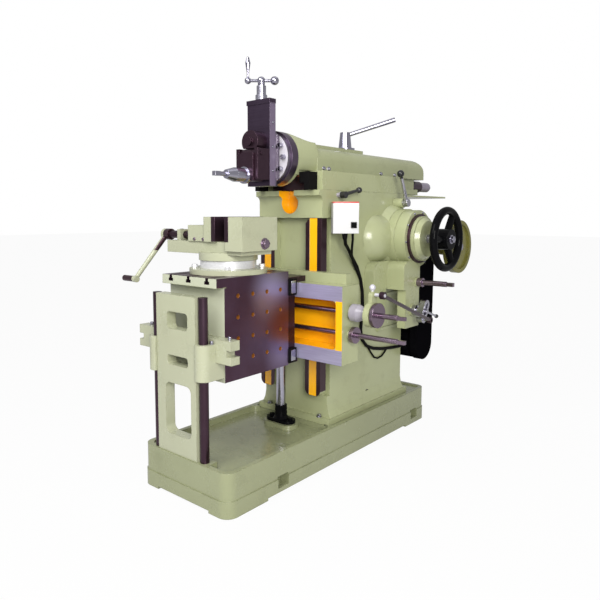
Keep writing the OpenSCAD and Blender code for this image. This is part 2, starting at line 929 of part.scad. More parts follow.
// Belt run around two pulleys, measured from their groove radii
module belt_loop(r_low, r_high) {
    d = [input_y - motor_y, input_z - motor_z];
    lean = asin((r_high - r_low) / norm(d));
    a = atan2(d.y, d.x);
    translate([motor_y, motor_z])
        circle(r_low);
    translate([input_y, input_z])
        circle(r_high);
    polygon([for (p = [[0, -1, r_low], [1, -1, r_high], [1, 1, r_high], [0, 1, r_low]])
        [motor_y, motor_z] + p[0] * d
            + (p[2] - free_gap) * [cos(a + p[1] * (90 + lean)), sin(a + p[1] * (90 + lean))]]);
}

module v_belts() {
    color(black)
    for (i = [0 : 1])
        let (x = guard_x0 + 9 + i * 13)
        along_x(x, x + 9)
            difference() {
                belt_loop(motor_pulley_r + 2, driven_r + 2);
                belt_loop(motor_pulley_r - 6, driven_r - 6);
            }
}

module pulley(y, z, r) {
    difference() {
        bar_x(guard_x0 + 6, guard_x1 - 6, y, z, r);
        for (i = [0 : 1])
            let (x = guard_x0 + 8.5 + i * 13)
            difference() {
                bar_x(x, x + 10, y, z, r + cut);
                bar_x(x - cut, x + 10 + cut, y, z, r - 6 - free_gap);
            }
    }
}

// Bearing tube for the input shaft, webbed to the back of the column
module input_bracket() {
    color(green)
    difference() {
        union() {
            bar_x(60, guard_x0, input_y, input_z, 46);
            block(70, column_hw - 6, column_y1, input_y, input_z - 34, input_z + 34);
        }
        bar_x(60 - cut, guard_x0 + cut, input_y, input_z, input_r + run_gap);
    }
}

module at_switch() {
    translate([switch_x, switch_y, switch_z])
        rotate([0, 0, switch_turn])
            children();
}

// Box turned towards the operator, with a square recess for its button
module switch_box() {
    recess = button_w + 2 * free_gap;
    color("white")
    at_switch()
        difference() {
            translate([-switch_w / 2, -switch_d / 2, -switch_h / 2])
                cube([switch_w, switch_d, switch_h]);
            translate([button_off.x - recess / 2, -switch_d / 2 - cut, button_off.y - recess / 2])
                cube([recess, button_depth + 5 + cut, recess]);
        }
}

// Square push button that stands a little proud of the box
module stop_button() {
    color(black)
    at_switch()
        translate([button_off.x - button_w / 2, -switch_d / 2 - button_proud, button_off.y - button_w / 2])
            cube([button_w, button_depth + button_proud, button_w]);
}

// Wedge between the column side and the back of the switch box
module switch_bracket() {
    back = [switch_x - sin(switch_turn) * switch_d / 2, switch_y + cos(switch_turn) * switch_d / 2];
    t = [cos(switch_turn), sin(switch_turn)];
    color(green)
    translate([0, 0, switch_z - switch_h / 3])
        linear_extrude(switch_h * 2 / 3)
            polygon([
                [column_hw, back.y - 12],
                [column_hw, back.y + 56],
                back + 22 * t,
                back - 26 * t
            ]);
}

module switch_cable() {
    color(black)
    tube(cable_route, cable_r, cable_sides);
}

// Bolted nut for the elevating screw
module elevating_pedestal() {
    color(black)
    difference() {
        union() {
            translate([0, lift_y, deck_z])
                linear_extrude(15)
                    rounded_rect(150, 70, 34);
            bar_z(pedestal_z - cut, pedestal_z + 14, 0, lift_y, lift_screw_r + 16, lift_screw_r + 7);
            bar_z(pedestal_z, pedestal_top, 0, lift_y, lift_screw_r + 7);
            for (x = [-54, 54])
                hex_head(x, lift_y, pedestal_z - cut, 12, 11);
        }
        bar_z(deck_z - cut, pedestal_top + cut, 0, lift_y, lift_screw_r + run_gap);
    }
}

// Upright frame on the front of the base with three windows
module support_frame() {
    rail_side = 40;
    win_w = support_w - 2 * rail_side - 30;
    leg_w = support_w - 2 * rail_side;
    color(green)
    along_y(support_y0, support_y1)
        translate([support_x, base_h])
            difference() {
                translate([-support_w / 2, 0])
                    square([support_w, support_h]);
                arched_window(leg_w, support_h * 0.125, support_h * 0.45, 26);
                arched_window(win_w, support_h * 0.565, support_h * 0.625, 12);
                arched_window(win_w, support_h * 0.79, support_h * 0.895, 16);
            }
}

// The windows stand a little to the handwheel side
module arched_window(w, z0, z1, r) {
    translate([10, (z0 + z1) / 2])
        rounded_rect(w, z1 - z0, r);
}

module guide_bars() {
    color(dark)
    for (s = [-1, 1])
        bar_z(base_h, support_z1, support_x + s * bar_off, bar_y, bar_r);
}

// Stub axle of the bull gear and fulcrum shaft of the rocker
module inner_axles() {
    color(steel) {
        union() {
            bar_x(gear_x0 - 12, column_hw - 8, bull_y, bull_z, axle_r);
            bar_x(gear_x1 + free_gap, inner_hw, bull_y, bull_z, axle_r + 20);
        }
        bar_x(-column_hw, column_hw, fulcrum_y, fulcrum_z, fulcrum_r);
    }
}

module ram_section() {
    translate([-ram_hw, ram_z0])
        square([ram_w, ram_foot_h]);
    translate([-ram_neck_hw, ram_z0])
        square([2 * ram_neck_hw, ram_h - ram_round]);
    translate([-ram_hw, guide_z1 + 2])
        square([ram_w, ram_z1 - ram_round - guide_z1 - 2]);
    translate([-ram_hw + ram_round, ram_z1 - ram_round - cut])
        square([ram_w - 2 * ram_round, ram_round + cut]);
    for (x = [-1, 1])
        translate([x * (ram_hw - ram_round), ram_z1 - ram_round])
            circle(ram_round);
}

// Ram with a round front, a raised pad on top and the pin that the rocker drives
module ram_casting() {
    color(green)
    union() {
        difference() {
            union() {
                along_y(ram_y0 + flare_l - 12, ram_y1)
                    ram_section();
                ram_flare();
                block(-ram_neck_hw + 6, ram_neck_hw - 6, ram_y0 + 10, ram_y0 + flare_l,
                    collar_z - 0.6 * collar_r, guide_z1 + 2 + cut);
                block(-pad_hw, pad_hw, ram_y0 + flare_l - cut, pad_y1, ram_z1 - cut, ram_z1 + pad_h);
            }
            block(-ram_slot_hw, ram_slot_hw, link_y - 130, link_y + 130, ram_z0 - cut, link_z + 84);
            block(-ram_w, ram_w, ram_y1 - overhang, ram_y1 + cut, ram_z0 - cut, guide_z1 + 2);
            rear_round();
        }
        bar_x(-ram_slot_hw - cut, ram_slot_hw + cut, link_y, link_z, link_pin_r);
    }
}

// Front of the ram, sweeping up from the pad to meet the round head collar
module ram_flare() {
    rise = collar_z + collar_r - ram_z1 - pad_h;
    arc_r = (flare_l * flare_l + rise * rise) / (2 * rise);
    intersection() {
        bar_y(ram_y0, ram_y0 + flare_l, 0, collar_z, collar_r - 1, ram_hw - 0.5);
        along_x(-ram_w, ram_w)
            difference() {
                union() {
                    translate([ram_y0 - cut, collar_z - collar_r - cut])
                        square([18 + cut, 2 * collar_r]);
                    translate([ram_y0 - cut, guide_z1 + 2])
                        square([flare_l + 2 * cut, collar_z + ram_hw - guide_z1]);
                }
                translate([ram_y0 + flare_l, ram_z1 + pad_h + arc_r])
                    circle(arc_r);
            }
    }
}

// Rounds the upper rear edge of the ram
module rear_round() {
    r = 80;
    along_x(-ram_w, ram_w)
        difference() {
            translate([ram_y1 - r, ram_z1 - r])
                square([r + cut, r + cut]);
            translate([ram_y1 - r, ram_z1 - r])
                circle(r);
        }
}

module head_collar() {
    color(dark)
    difference() {
        bar_y(collar_y0, ram_y0, 0, collar_z, collar_r);
        bar_y(collar_y0 - cut, collar_y0 + 30, 0, collar_z, 30 + run_gap);
    }
}

module position_screw() {
    r = 32;
    x = ram_neck_hw - r - 4;
    y = ram_y1 - overhang;
    z = ram_z0 + 50;
    color(dark)
    union() {
        bar_y(y, y + 110, x, z, r);
        bar_y(y + 110 - cut, y + 216, x, z, r - 5);
        bar_y(y + 216 - cut, y + 240, x, z, r - 5, r - 16);
    }
}

// Clamp lever on the raised pad
module lock_lever() {
    z = ram_z1 + pad_h;
    color(steel)
    union() {
        bar_z(z, z + 14, 0, lock_y, 48);
        bar_z(z + 14 - cut, z + 92, 0, lock_y, 33, 25);
        rod([0, lock_y, z + 76], [lock_lever_l * 0.75, lock_y + lock_lever_l * 0.6, z + 154], 10, 12);
    }
}

// Swivel disc with the upright guide for the tool slide
module head_guide() {
    color(steel)
    union() {
        bar_y(swivel_y0, collar_y0, 0, collar_z, head_r);
        bar_y(collar_y0 - cut, collar_y0 + 28, 0, collar_z, 30);
        block(-slide_w / 2 + 16, slide_w / 2 - 16, guide_y0, swivel_y0 + cut, slide_z0, collar_z + head_r - 6);
    }
}

module swivel_nuts() {
    ring = head_r - 20;
    color(steel)
    for (a = [0 : 1])
        for (b = [-34, 0, 34])
            translate([0, swivel_y0, collar_z])
                rotate([90, b + a * 180, 0])
                    translate([ring, 0, 0])
                        cylinder(h = 15, r = 11, $fn = 6);
}

// Upright slide with a top plate
module tool_slide() {
    color(dark)
    difference() {
        union() {
            block(-slide_w / 2, slide_w / 2, slide_y0, slide_y1, slide_z0, slide_z1);
            block(-slide_w / 2 - 2, slide_w / 2 + 2, slide_y0 - 4, slide_y1, slide_z1 - cut, hub_z);
        }
        bar_z(slide_z0 + 120, hub_z + cut, feed_screw_x, feed_screw_y, 11 + run_gap);
    }
}

// Box with two cheeks and a round pivot boss above
module clapper_box() {
    boss_r = 46;
    boss_z = clapper_z1 + 30;
    color(dark)
    difference() {
        union() {
            block(-clapper_w / 2, clapper_w / 2, clapper_y0, slide_y0, clapper_z0, clapper_z1);
            bar_y(slide_y0 - 54, slide_y0, 0, boss_z, boss_r);
            bar_y(slide_y0 - 66, slide_y0 - 54 + cut, 0, boss_z, 18);
        }
        block(-block_hw - free_gap, block_hw + free_gap, clapper_y0 - cut, slide_y0 - clapper_back,
            clapper_z0 - cut, clapper_z1 + 2);
        bar_x(-clapper_w, clapper_w, hinge_y, hinge_z, hinge_r + run_gap);
    }
}

// Swinging block with its hinge pin
module clapper_block() {
    y1 = slide_y0 - clapper_back - free_gap;
    color(dark)
    union() {
        block(-block_hw, block_hw, clapper_y0 - 8, y1, clapper_z0 - 6, hinge_z);
        bar_x(-block_hw, block_hw, hinge_y, hinge_z, 20);
        bar_x(-clapper_w / 2 - 4, clapper_w / 2 + 4, hinge_y, hinge_z, hinge_r);
    }
}

module tool_post() {
    y1 = clapper_y0 - 8;
    color(steel)
    union() {
        bar_y(y1 - 12, y1, 0, post_z, post_r + 6);
        bar_y(y1 - 68, y1 - 12 + cut, 0, post_z, post_r);
        bar_y(y1 - 112, y1 - 68 + cut, 0, post_z, post_r - 11, post_r);
        bar_y(y1 - 150, y1 - 112 + cut, 0, post_z, 9);
        block(-9, 9, y1 - 178, y1 - 150 + cut, post_z - 9, post_z + 9);
    }
}

module feed_screw() {
    color(steel)
    union() {
        bar_z(slide_z0 + 124, hub_z + cut, feed_screw_x, feed_screw_y, 11);
        bar_z(hub_z, hub_z + 20, feed_screw_x, feed_screw_y, 25);
        bar_z(hub_z + 20 - cut, crank_z - 22, feed_screw_x, feed_screw_y, 20);
    }
}

// Three-ball crank with a tapered upright handle
module ball_crank() {
    c = [feed_screw_x, feed_screw_y, crank_z];
    swing = [cos(41), sin(41), 0];
    tip = c - ball_reach * swing;
    tail = c + ball_reach * swing;
    color(steel)
    union() {
        bar_z(crank_z - 22, crank_z, feed_screw_x, feed_screw_y, 15);
        ball(c, 17);
        ball(tip, 14);
        ball(tail, 18);
        rod(tip, tail, 6.5);
        rod(tip, tip + [0, 0, 34], 5);
        rod(tip + [0, 0, 33], tip + [0, 0, 72], 5, 11);
        ball(tip + [0, 0, 72], 11);
        rod(tip + [0, 0, 72], tip + [0, 0, 92], 11, 6);
        ball(tip + [0, 0, 92], 6);
    }
}

// Slotted rocker with an open fork at the top
module rocker_arm() {
    hub_r = fulcrum_r + 26;
    slot_lo = rocker_slot_z;
    slot_hi = bull_z - fulcrum_z + rocker_slot_up;
    color(green)
    translate([0, fulcrum_y, fulcrum_z])
        rotate([-rocker_tilt, 0, 0])
            difference() {
                union() {
                    along_x(-rocker_t, rocker_t)
                        slot_shape([0, 0], [0, rocker_len + 2], rocker_w / 2);
                    bar_x(-rocker_t - 20, rocker_t + 20, 0, 0, hub_r);
                }
                bar_x(-60, 60, 0, 0, fulcrum_r + run_gap);
                along_x(-rocker_t - cut, rocker_t + cut)
                    slot_shape([0, slot_lo], [0, slot_hi], rocker_w / 2 - 18);
                along_x(-rocker_t - cut, rocker_t + cut)
                    slot_shape([0, link_z - fulcrum_z - 12], [0, rocker_len + 120], link_pin_r + 4);
            }
}

module bull_gear() {
    color(dark)
    difference() {
        translate([gear_x0, bull_y, bull_z])
            rotate([90, 0, 90])
                linear_extrude(gear_x1 - gear_x0)
                    rotate(gear_angle)
                        polygon(gear_outline(bull_teeth, gear_m));
        bar_x(gear_x0 - cut, gear_x1 + cut, bull_y, bull_z, axle_r + run_gap);
    }
}

// Crank pin block on the face of the bull gear, square to the rocker at the end of the stroke
module crank_block() {
    color(steel)
    translate([0, bull_y, bull_z])
        rotate([-rocker_tilt, 0, 0])
            union() {
                block(rocker_t + 16, gear_x0, crank_r - 42, crank_r + 42, -28, 28);
                bar_x(rocker_t + 6, gear_x0, crank_r, 0, 20);
            }
}

// Pinion shaft through the gearbox cover
module drive_shaft() {
    color(steel)
    union() {
        translate([gear_x0, drive_y, drive_z])
            rotate([90, 0, 90])
                linear_extrude(gear_x1 - gear_x0)
                    rotate(gear_angle + 180 + 180 / pinion_teeth)
                        polygon(gear_outline(pinion_teeth, gear_m));
        bar_x(gear_x0 - 15, wheel_x + 22, drive_y, drive_z, drive_r);
    }
}

// Spoked handwheel with a turned rim
module handwheel() {
    spokes = 3;
    mid_r = handwheel_r - rim_r;
    color(black)
    difference() {
        translate([wheel_x, drive_y, drive_z])
            rotate([0, 90, 0])
                union() {
                    rotate_extrude($fn = 96)
                        translate([mid_r, 0])
                            circle(rim_r, $fn = 40);
                    translate([0, 0, -38])
                        cylinder(h = 62, r = drive_r + 28);
                    for (i = [0 : spokes - 1])
                        rotate([0, 0, i * 360 / spokes + 30])
                            translate([drive_r + 8, 0, -6])
                                rotate([0, 90, 0])
                                    cylinder(h = mid_r - drive_r - 12, r1 = 19, r2 = 15);
                }
        bar_x(wheel_x - 60, wheel_x + 60, drive_y, drive_z, drive_r + run_gap);
    }
}

module input_shaft() {
    color(steel)
    union() {
        bar_x(46, flywheel_x + flywheel_t + 8, input_y, input_z, input_r);
        bar_x(46, 60 - free_gap, input_y, input_z, input_r + 14);
        pulley(input_y, input_z, driven_r);
    }
}

// Dished disc with a long hub
module flywheel() {
    color(green)
    difference() {
        union() {
            bar_x(flywheel_x, flywheel_x + flywheel_t, input_y, input_z, flywheel_r);
            bar_x(guard_x1 + 6, flywheel_x + cut, input_y, input_z, input_r + 20, input_r + 34);
        }
        difference() {
            bar_x(flywheel_x + flywheel_t - 10, flywheel_x + flywheel_t + cut, input_y, input_z, flywheel_r - 20);
            bar_x(flywheel_x, flywheel_x + flywheel_t + cut, input_y, input_z, input_r + 22);
        }
        bar_x(guard_x1, flywheel_x + flywheel_t + 20, input_y, input_z, input_r + run_gap);
    }
}

module motor_pulley() {
    color(steel)
    union() {
        pulley(motor_y, motor_z, motor_pulley_r);
        bar_x(guard_x0 - 40, guard_x0 + 6 + cut, motor_y, motor_z, rotor_r);
    }
}

// Rail with machined bands above and below a deep front pocket
module cross_rail() {
    pocket_y1 = rail_y1 - 22;
    boss = feed_shaft_r + 14;
    color(green)
    difference() {
        union() {
            block(-rail_hw, rail_hw, rail_y0, rail_y1, rail_z, rail_z1);
            block(-rail_hw + 36, rail_hw - 36, rail_y1 - ledge_d, rail_y1, rail_z1 - cut, rail_z1 + ledge_h);
            for (z = [cross_z, lift_z])
                bar_x(rail_hw - cut, rail_hw + 12, rail_mid_y, z, boss);
        }
        along_y(rail_y0 - cut, pocket_y1)
            translate([0, (rail_z + rail_z1) / 2])
                rounded_rect(rail_w - 2 * rail_end, rail_h - 2 * band_h, 16);
        for (z = [cross_z, lift_z])
            bar_x(-rail_hw - cut, rail_hw + 20, rail_mid_y, z, feed_shaft_r + run_gap);
        bar_z(rail_z - cut, rail_z + band_h + cut, 0, lift_y, lift_screw_r + run_gap);
    }
}

// Strips that hook behind the column ways
module rail_keepers() {
    x0 = way_x1 + free_gap;
    x1 = column_hw + 18;
    color(green)
    both_sides()
        union() {
            block(x0, x1, rail_y1, column_y0 + 18, rail_z + 6, rail_z1 - 6);
            block(way_x1 - 16, x1, column_y0 + free_gap, column_y0 + 18, rail_z + 6, rail_z1 - 6);
        }
}

// Beam across the table front, bored for the guide bars
module support_beam() {
    z1 = beam_z0 + beam_h;
    boss_z0 = beam_z0 - 68;
    boss_z1 = beam_z0 + 70;
    notch = 26;
    trim = support_w / 2 + 1;
    color(green)
    translate([support_x, 0, 0])
        difference() {
            union() {
                block(-beam_hw - beam_shift, beam_hw - beam_shift, beam_y0, beam_y1, beam_z0, z1);
                both_sides()
                    intersection() {
                        union() {
                            bar_z(boss_z0, boss_z1, bar_off, bar_y, beam_boss_r);
                            block(bar_off - beam_boss_r, bar_off + beam_boss_r, bar_y, beam_y0 + cut,
                                boss_z0, boss_z1);
                            block(bar_off - beam_boss_r, bar_off + beam_boss_r, beam_y0, beam_y1,
                                boss_z0, boss_z1);
                        }
                        block(trim, beam_hw, bar_y - 2 * beam_boss_r, beam_y1, boss_z0, z1);
                    }
            }
            both_sides()
                bar_z(boss_z0 - cut, boss_z1 + cut, bar_off, bar_y, bar_r + run_gap);
            translate([-beam_shift, 0, 0])
                both_sides()
                    block(beam_hw - notch, beam_hw + cut, beam_y0 - cut, beam_y1 + cut,
                        beam_z0 + beam_h / 3, beam_z0 + beam_h * 0.6);
        }
}

// Lower square-ended shaft
module elevating_shaft() {
    color(steel)
    union() {
        bar_x(-rail_hw + 4, shaft_tip - 34, rail_mid_y, lift_z, feed_shaft_r);
        bar_x(rail_hw + 12 + free_gap, rail_hw + 30, rail_mid_y, lift_z, feed_shaft_r + 23);
        square_end(lift_z);
    }
}

// Square wrench end of a rail shaft
module square_end(z) {
    s = feed_shaft_r * 0.68;
    block(shaft_tip - 34 - cut, shaft_tip, rail_mid_y - s, rail_mid_y + s, z - s, z + s);
}

module elevating_screw() {
    color(steel)
    union() {
        bar_z(screw_z0, rail_z + band_h - 2, 0, lift_y, lift_screw_r);
        bar_z(rail_z - 12, rail_z - free_gap, 0, lift_y, lift_screw_r + 12);
    }
}

// Upper shaft with its dial and ratchet ring
module cross_feed_screw() {
    color(steel)
    union() {
        bar_x(-rail_hw + 4, shaft_tip - 34, rail_mid_y, cross_z, feed_shaft_r);
        bar_x(rail_hw + 12 + free_gap, rail_hw + 42, rail_mid_y, cross_z, 36);
        bar_x(rail_hw + 42 - cut, ratchet_x - 10, rail_mid_y, cross_z, 35, 20);
        bar_x(ring_x, ring_x + 14, rail_mid_y, cross_z, ring_r);
        square_end(cross_z);
    }
}

// Feed lever on the cross screw, with a knob on top
module ratchet_lever() {
    hub = 51;
    top = cross_z + ratchet_arm - 22;
    x1 = ratchet_x + ratchet_t;
    color(green)
    difference() {
        union() {
            bar_x(ratchet_x, x1, rail_mid_y, cross_z, hub);
            along_x(ratchet_x + 3, x1 - 3)
                slot_shape([rail_mid_y, cross_z], [rail_mid_y, top - 14], 16);
            bar_z(top - 2, top + 12, (ratchet_x + x1) / 2, rail_mid_y, 7);
            ball([(ratchet_x + x1) / 2, rail_mid_y, top + 20], 13);
            bar_x(x1 - 3 - cut, rod_x + 20, rail_mid_y, rod_pin_z, 7);
        }
        bar_x(ratchet_x - cut, x1 + cut, rail_mid_y, cross_z, feed_shaft_r + run_gap);
    }
}

// Rod from the ratchet lever down to the feed crank
module feed_rod() {
    up = [rod_x + 9, rail_mid_y, rod_pin_z];
    color([0.20, 0.20, 0.30])
    difference() {
        union() {
            bar_x(rod_x, rod_x + 18, up.y, up.z, 15);
            rod(up, rod_low, 8);
            bar_x(rod_low.x - 9, rod_low.x + 9, rod_low.y, rod_low.z, 15);
        }
        bar_x(rod_x - 30, rod_x + 50, up.y, up.z, 7 + run_gap);
        bar_x(rod_low.x - 30, rod_low.x + 30, rod_low.y, rod_low.z, 8);
    }
}

// Slotted crank on the feed shaft, with a small clamp lever
module feed_crank() {
    x1 = feed_block_x + feed_block_t;
    c = [feed_y, feed_z];
    tip = [x1 + 6, feed_y + 104, feed_z - 36];
    color(steel)
    union() {
        bar_x(case_x1 - leg_t, feed_block_x + cut, feed_y, feed_z, 16);
        bar_x(case_x1 + 8 + free_gap, case_x1 + 26, feed_y, feed_z, 26);
        difference() {
            along_x(feed_block_x, x1)
                slot_shape(c - 34 * feed_dir, c + 34 * feed_dir, 24);
            along_x(x1 - 10, x1 + cut)
                slot_shape(c - 34 * feed_dir, c + 34 * feed_dir, 9);
        }
        bar_x(x1 - 11, feed_pin_x, rod_low.y, rod_low.z, 7.5);
        bar_x(x1 - 11, x1 + 10, feed_y, feed_z, 12);
        rod([x1 + 4, feed_y, feed_z], tip, 5);
        ball(tip, 10);
    }
}

module stroke_shaft() {
    x1 = case_x1 + 193;
    s = stroke_shaft_r * 0.7;
    color(dark)
    union() {
        bar_x(inner_hw + 4, x1 - 36, stroke_y, stroke_z, stroke_shaft_r);
        bar_x(case_x1 + 8 + free_gap, case_x1 + 34, stroke_y, stroke_z, stroke_shaft_r + 9);
        block(x1 - 36 - cut, x1, stroke_y - s, stroke_y + s, stroke_z - s, stroke_z + s);
    }
}

// Saddle with lips over the rail bands and a nut for the cross screw
module saddle() {
    lip = rail_d - ledge_d - 6;
    color(dark)
    difference() {
        translate([table_x, 0, 0])
            union() {
                block(-saddle_hw, saddle_hw, table_y1, saddle_y1, rail_z - 22, rail_z1 + 24);
                block(-saddle_hw, saddle_hw, saddle_y1 - cut, rail_y0 + lip, rail_z1 + free_gap, rail_z1 + 24);
                block(-saddle_hw, saddle_hw, saddle_y1 - cut, rail_y0 + 20, rail_z - 22, rail_z - free_gap);
                block(-28, 28, saddle_y1 - cut, rail_mid_y + 20, cross_z - 22, cross_z + 22);
            }
        bar_x(table_x - 30, table_x + 30, rail_mid_y, cross_z, feed_shaft_r + run_gap);
    }
}

// Box table with three T-slots and a grid of tapped holes in its side
module table() {
    cav_y0 = table_body_y0 + table_wall;
    cav_y1 = table_y1 - table_wall;
    cav_z1 = table_z1 - table_top_t - 14;
    color(dark)
    difference() {
        union() {
            block(table_x0, table_x1, table_y0, table_y1, table_z1 - table_top_t, table_z1);
            block(table_x0, table_x1, table_body_y0, table_y1, table_z0, table_z1 - table_top_t + cut);
        }
        block(table_x0 + table_wall, table_x1 - table_wall, cav_y0, cav_y1, table_z0 - cut, cav_z1);
        for (i = [-1 : 1])
            t_slot(table_x + i * slot_pitch);
        side_holes();
    }
}

module t_slot(x) {
    y1 = table_y1 - 20;
    block(x - slot_w / 2, x + slot_w / 2, table_y0 - cut, y1, table_z1 - slot_depth, table_z1 + cut);
    block(x - slot_foot_w / 2, x + slot_foot_w / 2, table_y0 - cut, y1,
        table_z1 - slot_depth, table_z1 - slot_depth + slot_foot_h);
}

module side_holes() {
    y_mid = table_y1 - 51.5 - 1.5 * side_hole_pitch;
    z_mid = table_z0 + 204;
    for (i = [-1.5 : 1 : 1.5], k = [-1.5 : 1 : 1.5])
        bar_x(table_x1 - table_wall - cut, table_x1 + cut,
            y_mid + i * side_hole_pitch, z_mid + k * side_hole_pitch, side_hole_r);
}

// Round flange with a graduated ring and clamp bolts
module vise_base() {
    color(green)
    translate([vise_x, vise_y, 0])
        union() {
            bar_z(table_z1, vise_ring_z, 0, 0, vise_base_r);
            bar_z(vise_ring_z - cut, vise_ring_z + vise_ring_h, 0, 0, vise_ring_r);
            for (a = [45 : 90 : 315])
                rotate([0, 0, a])
                    hex_head(vise_base_r - 22, 0, vise_ring_z - cut, 13, 15);
        }
}

// Swivelling vise body with the fixed jaw and a slotted bed
module vise_body() {
    flange_z1 = vise_body_z + 24;
    bed_hw = jaw_w / 2 - 14;
    color(green)
    difference() {
        union() {
            bar_z(vise_body_z, flange_z1 + 8, vise_x, vise_y, vise_ring_r + 6);
            block(bed_x0, fixed_jaw_x1 - 20, vise_y - bed_hw, vise_y + bed_hw, flange_z1, bed_z1);
            block(fixed_jaw_x0, fixed_jaw_x1, vise_y - jaw_w / 2, vise_y + jaw_w / 2,
                flange_z1 + 16, jaw_z1);
            block(bed_x0, bed_x0 + bed_end_t, vise_y - 32, vise_y + 32, bed_z1 - cut, vise_screw_z + vise_screw_r + 7);
        }
        block(bed_x0 + bed_end_t, fixed_jaw_x0, vise_y - bed_slot_hw, vise_y + bed_slot_hw,
            flange_z1 + 16, bed_z1 + cut);
        bar_x(bed_x0 - cut, bed_x0 + bed_end_t + cut, vise_y, vise_screw_z, vise_screw_r + run_gap);
        bar_x(fixed_jaw_x0 - cut, fixed_jaw_x0 + screw_depth + 4, vise_y, vise_screw_z, vise_screw_r + 1);
    }
}

// Stepped jaw that slides on the vise bed
module moving_jaw() {
    step_x = moving_jaw_x0 + jaw_step_l;
    color(green)
    difference() {
        union() {
            block(step_x, moving_jaw_x1, vise_y - jaw_w / 2, vise_y + jaw_w / 2, bed_z1 + slide_gap, jaw_z1);
            block(moving_jaw_x0, step_x + cut, vise_y - jaw_w / 2 + 8, vise_y + jaw_w / 2 - 8,
                bed_z1 + slide_gap, jaw_z1 - jaw_step_h);
            block(moving_jaw_x0 + 20, moving_jaw_x1 - 20, vise_y - bed_slot_hw + free_gap,
                vise_y + bed_slot_hw - free_gap, bed_z1 - 18, bed_z1 + 1);
        }
        bar_x(moving_jaw_x0 - cut, moving_jaw_x1 + cut, vise_y, vise_screw_z, vise_screw_r + run_gap);
    }
}

module vise_screw() {
    color(dark)
    union() {
        bar_x(crank_x, fixed_jaw_x0 + screw_depth, vise_y, vise_screw_z, vise_screw_r);
        bar_x(bed_x0 - 12, bed_x0 - free_gap, vise_y, vise_screw_z, vise_screw_r + 9);
    }
}

// Hand crank with a turned grip
module vise_crank() {
    hub_r = vise_screw_r + 8;
    tip = [0, -vise_crank_l * sin(crank_tilt), -vise_crank_l * cos(crank_tilt)];
    color(green)
    translate([crank_x, vise_y, vise_screw_z])
        union() {
            difference() {
                bar_x(-28, 18, 0, 0, hub_r);
                bar_x(0, 20, 0, 0, vise_screw_r);
            }
            rod([-15, 0, 0], [-20, 0, 0] + tip, 12, 10);
            bar_x(-30, -8, tip.y, tip.z, 14);
            bar_x(-100, -29, tip.y, tip.z, 13);
        }
}

module clutch_lever() {
    lean = 25;
    tip = [clutch_x + 12, clutch_y - clutch_lever_l * sin(lean), clutch_z + clutch_lever_l * cos(lean)];
    color(black)
    union() {
        bar_x(clutch_x - 4, clutch_x + 24, clutch_y, clutch_z, 19);
        rod([clutch_x + 12, clutch_y, clutch_z], tip, 10, 8);
        ball(tip, 18);
    }
}

module gib_lever() {
    tip = [column_hw + 32, gib_y + gib_lever_l, gib_z + 24];
    color(black)
    union() {
        bar_x(column_hw, column_hw + 20, gib_y, gib_z, 10);
        bar_x(column_hw + 18, column_hw + 46, gib_y, gib_z, 15);
        rod([column_hw + 32, gib_y, gib_z], tip, 9, 7);
        ball(tip, 14);
    }
}

base_casting();
column_casting();
ram_guides();
ram_wipers();
oil_tray();
gearbox_cover();
feed_gear_case();
access_cover();
motor_plate();
motor();
belt_guard();
v_belts();
input_bracket();
switch_box();
stop_button();
switch_bracket();
switch_cable();
elevating_pedestal();
support_frame();
guide_bars();
inner_axles();
ram_casting();
head_collar();
position_screw();
lock_lever();
head_guide();
swivel_nuts();
tool_slide();
clapper_box();
clapper_block();
tool_post();
feed_screw();
ball_crank();
rocker_arm();
bull_gear();
crank_block();
drive_shaft();
handwheel();
input_shaft();
flywheel();
motor_pulley();
cross_rail();
rail_keepers();
support_beam();
elevating_shaft();
elevating_screw();
cross_feed_screw();
ratchet_lever();
feed_rod();
feed_crank();
stroke_shaft();
saddle();
table();
vise_base();
vise_body();
moving_jaw();
vise_screw();
vise_crank();
clutch_lever();
gib_lever();
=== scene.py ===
# %% [markdown]
# # A metal shaper, dressed for its portrait
# The solids of this machine come from its CAD model. This lesson loads them, paints each one, adds the
# small fittings that are only looked at, and sets a camera and lights where the photographer stood.

import math

import bmesh
import bpy
from mathutils import Matrix, Vector


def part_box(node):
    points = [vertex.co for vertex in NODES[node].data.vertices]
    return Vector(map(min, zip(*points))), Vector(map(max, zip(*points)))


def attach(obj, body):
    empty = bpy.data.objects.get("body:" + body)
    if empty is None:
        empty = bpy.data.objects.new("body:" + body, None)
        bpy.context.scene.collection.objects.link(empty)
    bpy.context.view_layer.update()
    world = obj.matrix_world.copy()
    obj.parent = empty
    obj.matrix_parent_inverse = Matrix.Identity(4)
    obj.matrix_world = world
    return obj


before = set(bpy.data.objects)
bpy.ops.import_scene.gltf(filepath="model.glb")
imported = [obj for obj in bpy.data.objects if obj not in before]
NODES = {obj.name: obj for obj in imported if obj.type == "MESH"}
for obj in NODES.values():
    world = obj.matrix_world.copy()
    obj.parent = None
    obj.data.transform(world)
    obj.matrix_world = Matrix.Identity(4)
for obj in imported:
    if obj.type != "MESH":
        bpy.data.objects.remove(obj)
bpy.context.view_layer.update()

# %% [markdown]
# ## Working in millimetres
# The machine was drawn in millimetres, and Blender works in metres. One small helper keeps the numbers
# in this file the same as those on the drawing.

# %% Millimetres
MM = 0.001


def at(x, y, z):
    return Vector((x * MM, y * MM, z * MM))


# %% [markdown]
# ## Smooth shading
# CAD meshes arrive as flat facets. Turned bars should shine as round ones while square corners stay
# crisp, so faces are shaded smooth only where they meet at a shallow angle. The mesh itself is not moved.

# %% Shade by angle
def shade_by_angle(obj, degrees=32):
    for poly in obj.data.polygons:
        poly.use_smooth = True
    obj.data.set_sharp_from_angle(angle=math.radians(degrees))


for obj in NODES.values():
    shade_by_angle(obj)
print("shaded", len(NODES), "nodes")

